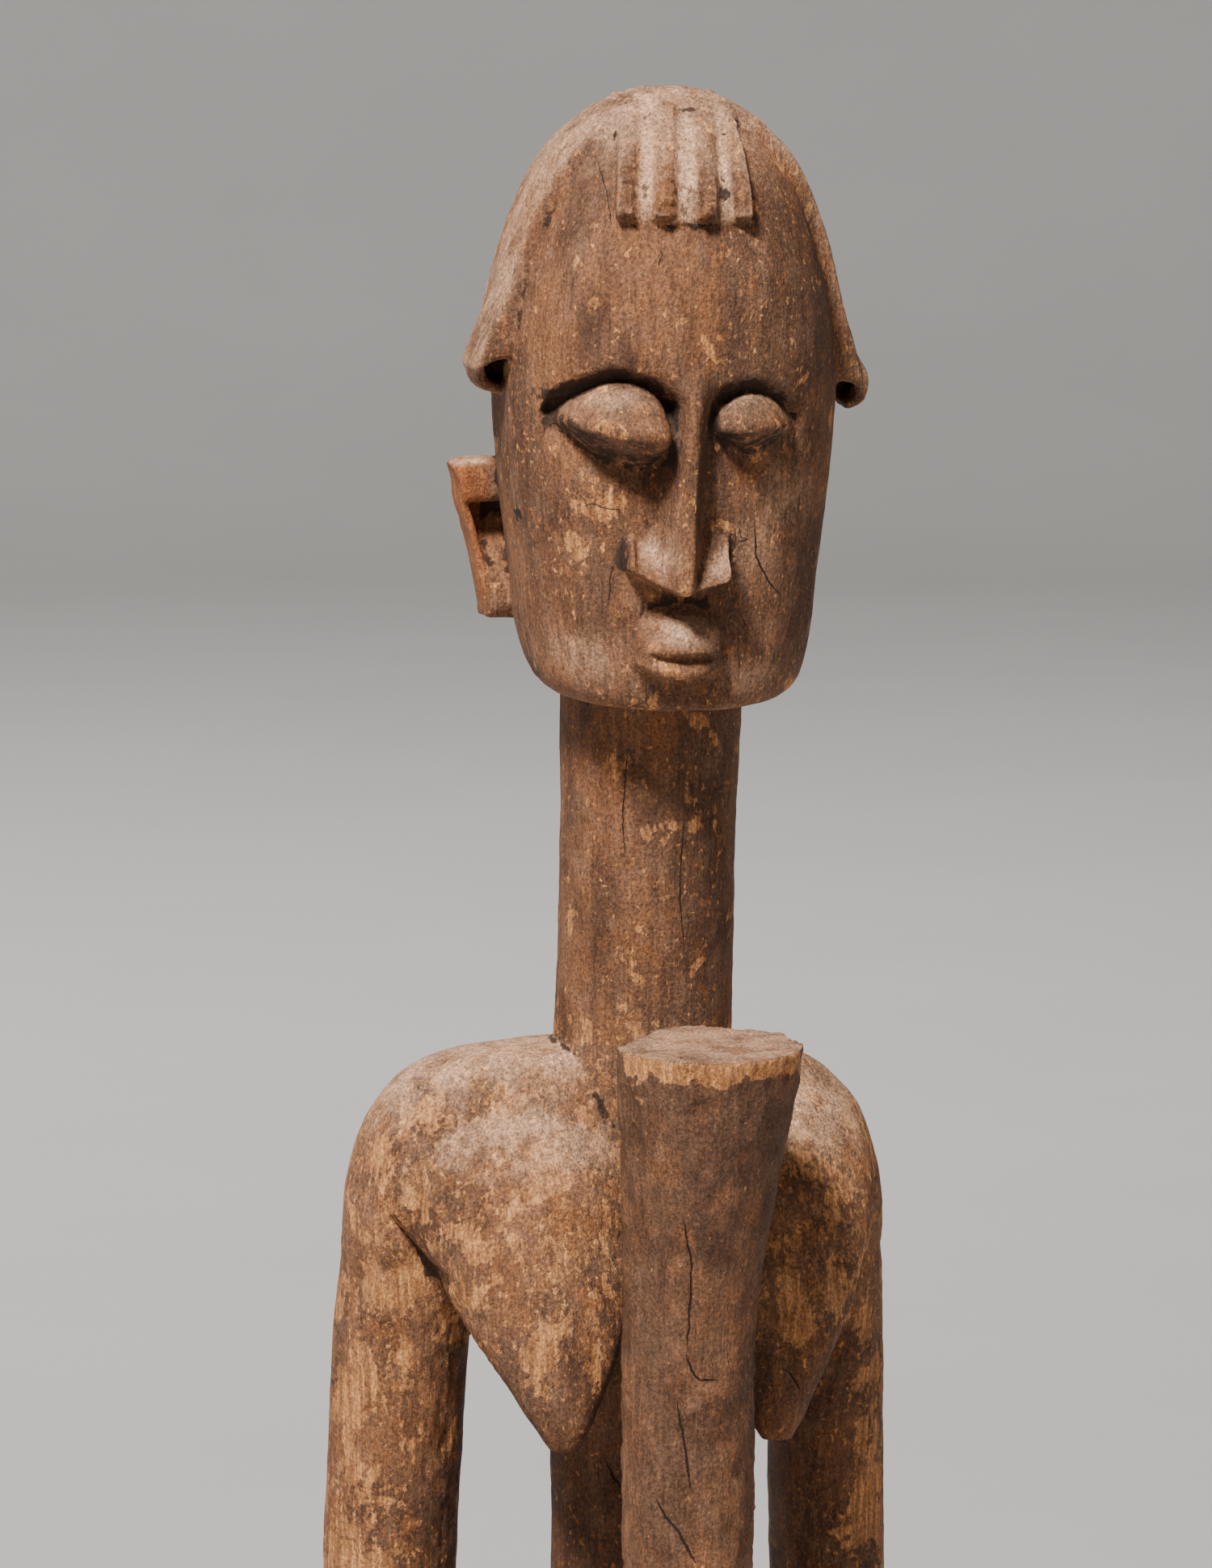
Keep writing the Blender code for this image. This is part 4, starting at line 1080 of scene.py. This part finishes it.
def old_wood(finish):
    """The finish of the block: brown wood with a long grain, a dark stain under patches of worn gold (on the trunk
    and the inner arms a painted shade), dust where it settles, a black crust in the creases that also paints their
    shade, and fine cracks."""
    material = bpy.data.materials.new("old_wood_finish")
    material.use_nodes = True
    tree = material.node_tree
    shader = tree.nodes["Principled BSDF"]
    place = add_node(tree, "ShaderNodeTexCoord").outputs["Object"]

    def stored(name):
        return add_node(tree, "ShaderNodeAttribute", attribute_name=name).outputs["Fac"]

    def group(made, **inputs):
        return add_node(tree, "ShaderNodeGroup", {"Place": place, **inputs}, node_tree=made).outputs

    def times(a, b):
        return maths(tree, "MULTIPLY", a, b)

    def plus(a, b):
        return maths(tree, "ADD", a, b)

    def less(a, b):
        return maths(tree, "SUBTRACT", a, b)

    gold, dust, crust_and_shade_amount, stain_and_shade, cut_end = map(stored, ("gold", "dust", "crust_and_shade_amount", "stain_and_shade", "cut_end"))
    grain = group(long_grain_group(), Fineness=1.0)
    patches = patches_group()

    colour = mixed(tree, ramp(tree, grain["Drift"], 0.42, 0.6), (*finish.deep_brown, 1), (*finish.brown, 1))
    mottle = group(patches, Amount=0.66, Scale=170.0, Softness=0.16)["Mask"]
    colour = mixed(tree, times(mottle, 0.6), colour, (*finish.grey_brown, 1))
    thin = group(patches, Amount=plus(times(gold, 0.8), 0.2), Scale=300.0, Softness=0.12)["Mask"]
    colour = mixed(tree, times(thin, 0.75), colour, (*finish.red_brown, 1))
    # The stain patches are real stain on the pestle and painted shade on the trunk and the inner arms
    stained = group(patches, Amount=plus(times(stain_and_shade, 1.2), 0.15), Scale=150.0, Softness=0.2)["Mask"]
    colour = mixed(tree, times(stained, stain_and_shade), colour, (*finish.stain_and_shade, 1))
    worn = group(patches, Amount=gold, Scale=120.0, Softness=0.035)["Mask"]
    flecks = group(patches, Amount=plus(times(gold, 0.6), 0.2), Scale=700.0, Softness=0.05)["Mask"]
    bare = maths(tree, "MAXIMUM", times(worn, 0.8), times(flecks, 0.75))
    streaky = ramp(tree, grain["Streak"], 0.4, 0.66)
    bare_colour = mixed(tree, streaky, (*finish.worn_brown, 1), (*finish.worn_gold, 1))
    colour = mixed(tree, bare, colour, bare_colour)
    colour = mixed(tree, times(cut_end, 0.8), colour, (*finish.end_grain, 1))
    dusty = group(dust_group(), Base=colour, Dust=(*finish.dust, 1), Amount=dust)
    # Near-black cover where the dark amount is high: dirt in the creases and painted shade in the hollows and
    # undercuts
    crust_and_shade = group(patches, Amount=plus(times(crust_and_shade_amount, 1.35), 0.08), Scale=320.0, Softness=0.12)["Mask"]
    crust_and_shade_cover = times(crust_and_shade, ramp(tree, crust_and_shade_amount, 0.0, 0.7, 0.35, 0.9))
    colour = mixed(tree, crust_and_shade_cover, dusty["Color"], (*finish.crust_and_shade, 1))
    grit = grain_noise(tree, place, 1700.0, (1, 1, 0.7), 4.0, 0.7)
    shade = times(ramp(tree, grit, 0.3, 0.7, 0.5, 1.45), ramp(tree, grain["Streak"], 0.3, 0.7, 0.74, 1.26))
    shade = times(shade, less(1.0, times(grain["Pores"], 0.2)))
    colour = add_node(tree, "ShaderNodeVectorMath", {0: colour, 1: shade}, operation="MULTIPLY").outputs[0]
    line = group(crack_group(), Distance=stored("crack"), Width=stored("crack_width"))["Mask"]
    colour = mixed(tree, line, colour, (*finish.crust_and_shade, 1))
    tree.links.new(colour, shader.inputs["Base Color"])

    rough = plus(ramp(tree, grain["Streak"], 0.3, 0.7, 0.62, 0.78), times(dusty["Cover"], 0.18))
    tree.links.new(rough, shader.inputs["Roughness"])
    shader.inputs["Specular IOR Level"].default_value = 0.3

    height = plus(times(grain["Streak"], 0.35), times(grit, 0.9))
    height = less(height, times(grain["Pores"], 0.12))
    height = less(height, times(bare, 0.25))
    height = plus(height, times(crust_and_shade, times(crust_and_shade_amount, 0.8)))
    height = less(height, times(line, 2.5))
    bump = add_node(tree, "ShaderNodeBump", {"Height": height, "Strength": 0.9, "Distance": 0.0007})
    tree.links.new(bump.outputs[0], shader.inputs["Normal"])
    return material


def plain_finish(name, colour, roughness):
    """The stage's own matt finish, with the faintest cloud in its colour."""
    material = bpy.data.materials.new(name)
    material.use_nodes = True
    tree = material.node_tree
    shader = tree.nodes["Principled BSDF"]
    place = add_node(tree, "ShaderNodeTexCoord").outputs["Object"]
    cloud = ramp(tree, grain_noise(tree, place, 3.0), 0.3, 0.7)
    darker = tuple(0.97 * c for c in colour)
    tree.links.new(mixed(tree, cloud, (*darker, 1), (*colour, 1)), shader.inputs["Base Color"])
    shader.inputs["Roughness"].default_value = roughness
    return material


def length(name, description, default, low):
    """A length in the panel."""
    return FloatProperty(name=name, description=description, default=default, min=low, unit="LENGTH")


def colour_of(name, description, default):
    """A colour in the panel."""
    return FloatVectorProperty(
        name=name, description=description, default=default, min=0, max=1, size=3, subtype="COLOR"
    )


class CarvingSizes(bpy.types.PropertyGroup):
    """Sizes of the block."""

    figure_height: length("Figure height", "From the soles to the crown", 0.600, 0.1)
    base_diameter: length("Base diameter", "Across the round base", 0.1518, 0.05)
    base_thickness: length("Base thickness", "From the floor to the soles", 0.028, 0.005)
    neck_diameter: length("Neck diameter", "Across the middle of the neck", 0.039, 0.01)
    pestle_diameter: length("Pestle diameter", "Across the pestle where it is held", 0.0284, 0.005)
    pestle_head: length("Pestle head", "Across the flared top of the pestle", 0.0404, 0.005)
    mortar_diameter: length("Mortar diameter", "Across the mortar's rim", 0.053, 0.02)
    mortar_waist: length("Mortar waist", "Across the mortar where it is narrowest", 0.040, 0.02)
    mortar_height: length("Mortar height", "From the base to the mortar's rim", 0.060, 0.02)
    carving_grain: length("Carving grain", "Size of the finest form that the carving keeps", 0.00062, 0.0003)
    facet_count: IntProperty(
        name="Facets",
        description="Triangles kept in the finished carving",
        default=190000,
        min=10000,
    )


class WoodFinish(bpy.types.PropertyGroup):
    """Colours of the old wood."""

    brown: colour_of("Brown", "Wood that shows most", (0.175, 0.062, 0.020))
    deep_brown: colour_of("Deep brown", "Wood in the darker drifts", (0.070, 0.023, 0.007))
    grey_brown: colour_of("Grey brown", "Mottled patina", (0.165, 0.078, 0.042))
    red_brown: colour_of("Red brown", "Thin patina round the worn places", (0.240, 0.078, 0.018))
    worn_brown: colour_of("Worn brown", "Darker streaks of the worn places", (0.390, 0.148, 0.042))
    worn_gold: colour_of("Worn gold", "Bare worn wood", (0.580, 0.255, 0.082))
    end_grain: colour_of("End grain", "Cut ends of the ears", (0.310, 0.085, 0.018))
    dust: colour_of("Dust", "Dust on ledges and in furrows", (0.540, 0.305, 0.180))
    # Dark stain of the pestle and the neck; on the trunk and the inner arms it is painted shade
    stain_and_shade: colour_of("Stain", "Dark stain of the pestle, the neck and the trunk", (0.062, 0.021, 0.007))
    # Near black: dirt in the creases and painted shade in the hollows and undercuts; the cracks take it too
    crust_and_shade: colour_of("Crust", "Dirt in the creases", (0.020, 0.009, 0.004))


class StageSettings(bpy.types.PropertyGroup):
    """The floor, the lights and the camera."""

    floor_colour: colour_of("Floor", "Pale floor that sweeps up all round", (0.72, 0.70, 0.67))
    key_power: FloatProperty(name="Key light", description="Power of the soft key light", default=88.0, min=0)
    fill_power: FloatProperty(name="Fill light", description="Power of the wide fill light", default=2.0, min=0)
    backdrop_power: FloatProperty(
        name="Backdrop light", description="Power of the light on the wall behind", default=170.0, min=0
    )
    ambient: FloatProperty(name="Ambient", description="Brightness all round", default=0.10, min=0)
    camera_turn: FloatProperty(
        name="Camera turn",
        description="How far the camera stands to the figure's right",
        default=math.radians(15),
        subtype="ANGLE",
    )
    camera_rise: FloatProperty(
        name="Camera rise", description="How far the camera looks down", default=math.radians(6), subtype="ANGLE"
    )
    camera_distance: length("Camera distance", "From the camera to the point it looks at", 1.5, 0.3)
    focal_length: FloatProperty(
        name="Focal length", description="Of the lens, in millimetres", default=158.97, min=1
    )


class CARVING_OT_figure(bpy.types.Operator):
    """Carve the whole block over its solid, lay the wear on it and finish it as old wood"""

    bl_idname = "carving.figure"
    bl_label = "Carve the figure"

    def execute(self, context):
        sizes = context.scene.carving_sizes
        part = sizes.figure_height / PARTS_TALL
        coarse = 1.0
        shapes = []
        for points, squares, fans in all_shapes(sizes, part, int(520 / coarse)):
            shapes.append((points * part + (0, 0, sizes.base_thickness), squares, fans))
        obj = bpy.data.objects.new("carved_figure", mesh_of("carved_figure", shapes))
        context.scene.collection.objects.link(obj)
        block = obj.modifiers.new("one_block", "REMESH")
        block.mode = "VOXEL"
        block.voxel_size = sizes.carving_grain * coarse
        settle(obj)
        self.lay_wear(obj.data, sizes, part)
        facets = obj.modifiers.new("facets", "DECIMATE")
        facets.ratio = min(1.0, sizes.facet_count / coarse**2 / (2 * len(obj.data.polygons)))
        settle(obj)
        self.keep_zones(obj.data, sizes, part)
        obj.data.name = "carved_figure"
        obj.data.shade_smooth()
        obj.data.set_sharp_from_angle(angle=math.radians(70))
        obj.data.materials.clear()
        obj.data.materials.append(old_wood(context.scene.carving_finish))
        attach(obj, "root")
        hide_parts("figure")
        return {"FINISHED"}

    @staticmethod
    def lay_wear(mesh, sizes, part):
        """Moves every vertex along its normal by the carving marks, then keeps the block in its solid's box and
        its underside flat."""
        co = read(mesh.vertices, "co", 3).astype(float)
        normals = read(mesh.vertices, "normal", 3).astype(float)
        points = (co - (0, 0, sizes.base_thickness)) / part
        co += normals * (carve_marks(points, zones_of(points)) * part)[:, None]
        low, high = (np.array(corner) for corner in SOLID_BOX)
        co = np.clip(co, low + BOX_MARGIN, high - BOX_MARGIN)
        co[co[:, 2] < FLAT_BELOW, 2] = low[2]
        mesh.vertices.foreach_set("co", co.astype(np.float32).ravel())
        mesh.update()

    @staticmethod
    def keep_zones(mesh, sizes, part):
        """Keeps the underside on the floor, then stores the zones of the finish and the distances to the cracks
        with the vertices."""
        co = read(mesh.vertices, "co", 3).astype(float)
        co[:, 2] = co[:, 2].clip(SOLID_BOX[0][2])
        mesh.vertices.foreach_set("co", co.astype(np.float32).ravel())
        mesh.update()
        up = read(mesh.vertices, "normal", 3)[:, 2].astype(float)
        points = (co - (0, 0, sizes.base_thickness)) / part
        zones = zones_of(points)
        fine, broad = hollows(mesh, (3, 30))
        for name, values in finish_zones(points, up, fine, broad, zones).items():
            store(mesh, name, values)
        face_d, face_w = crack_distance(zones["hx"], zones["hz"], FACE_CRACKS)
        body_d, body_w = crack_distance(points[:, 0], points[:, 2], BODY_CRACKS)
        face_w = face_w * zones["head"] * (1 - step(-6, 0, zones["hy"]))
        body_w = body_w * (1 - zones["head"]) * (1 - step(8, 16, points[:, 1]))
        on_head = zones["head"] > 0.5
        store(mesh, "crack", np.where(on_head, face_d, body_d))
        store(mesh, "crack_width", np.where(on_head, face_w, body_w))


class CARVING_OT_stage(bpy.types.Operator):
    """Set the pale floor, the soft lights and the camera"""

    bl_idname = "carving.stage"
    bl_label = "Set the stage"

    def execute(self, context):
        settings = context.scene.carving_stage
        self.floor(context, settings)
        powers = (settings.key_power, settings.fill_power, settings.backdrop_power)
        for (name, (place, aim, size)), power in zip(LIGHTS.items(), powers):
            self.light(context, name, place, aim, size, power)
        world = bpy.data.worlds.new("soft_grey")
        context.scene.world = world
        world.use_nodes = True
        background = world.node_tree.nodes["Background"]
        background.inputs["Color"].default_value = (1.0, 0.985, 0.965, 1)
        background.inputs["Strength"].default_value = settings.ambient
        self.camera(context, settings)
        return {"FINISHED"}

    @staticmethod
    def floor(context, settings):
        """A pale floor turned round the upright axis: flat, then swept up on a quarter circle into a wall."""
        arc = np.radians(np.linspace(-90, 0, 25))
        sweep = SWEEP_RADIUS * np.stack([np.cos(arc), np.sin(arc)], 1) + (FLOOR_REACH, SWEEP_RADIUS)
        wall_top = (FLOOR_REACH + SWEEP_RADIUS, WALL_TOP)
        profile = np.vstack([(0.0, 0.0), (1.0, 0.0), (3.5, 0.0), sweep, wall_top])
        c, w = around_circle(160)
        level = np.broadcast_to(profile[:, 1:2], (len(profile), 160))
        reach = profile[:, 0:1]
        points, squares, fans = skin(np.stack([reach * c, reach * w, level], -1), closed=False)
        floor = bpy.data.objects.new("floor", mesh_of("floor", [(points, squares[:, ::-1], fans)]))
        context.scene.collection.objects.link(floor)
        floor.data.shade_smooth()
        floor.data.materials.append(plain_finish("pale_floor", settings.floor_colour, 0.85))

    @staticmethod
    def light(context, name, place, aim, size, power):
        """A square soft light that points at a place."""
        data = bpy.data.lights.new(name, "AREA")
        data.size = size
        data.energy = power
        lamp = bpy.data.objects.new(name, data)
        context.scene.collection.objects.link(lamp)
        lamp.location = place
        lamp.rotation_euler = (Vector(aim) - Vector(place)).to_track_quat("-Z", "Y").to_euler()

    @staticmethod
    def camera(context, settings):
        """The camera stands back from the point it looks at, turned round it and raised."""
        a, e = -settings.camera_turn, settings.camera_rise
        back = Vector((math.sin(a) * math.cos(e), -math.cos(a) * math.cos(e), math.sin(e)))
        data = bpy.data.cameras.new("camera")
        data.lens = settings.focal_length
        data.sensor_width = 36.0
        data.clip_start, data.clip_end = 0.05, 100.0
        camera = bpy.data.objects.new("camera", data)
        context.scene.collection.objects.link(camera)
        camera.location = Vector(CAMERA_AIM) + back * settings.camera_distance
        camera.rotation_euler = back.to_track_quat("Z", "Y").to_euler()
        context.scene.camera = camera


class CARVING_PT_panel(bpy.types.Panel):
    """Lists the steps with their sizes and colours"""

    bl_label = "Carving"
    bl_idname = "CARVING_PT_panel"
    bl_space_type = "VIEW_3D"
    bl_region_type = "UI"
    bl_category = "Carving"

    def draw(self, context):
        scene = context.scene
        for settings in (scene.carving_sizes, scene.carving_finish, scene.carving_stage):
            box = self.layout.box()
            for name in type(settings).__annotations__:
                box.prop(settings, name)
        self.layout.operator(CARVING_OT_figure.bl_idname)
        self.layout.operator(CARVING_OT_stage.bl_idname)


CLASSES = (
    CarvingSizes,
    WoodFinish,
    StageSettings,
    CARVING_OT_figure,
    CARVING_OT_stage,
    CARVING_PT_panel,
)


def register():
    for cls in CLASSES:
        bpy.utils.register_class(cls)
    bpy.types.Scene.carving_sizes = PointerProperty(type=CarvingSizes)
    bpy.types.Scene.carving_finish = PointerProperty(type=WoodFinish)
    bpy.types.Scene.carving_stage = PointerProperty(type=StageSettings)


def unregister():
    del bpy.types.Scene.carving_stage
    del bpy.types.Scene.carving_finish
    del bpy.types.Scene.carving_sizes
    for cls in reversed(CLASSES):
        bpy.utils.unregister_class(cls)


def main():
    register()
    bpy.ops.carving.figure()
    bpy.ops.carving.stage()


if __name__ == "__main__":
    main()
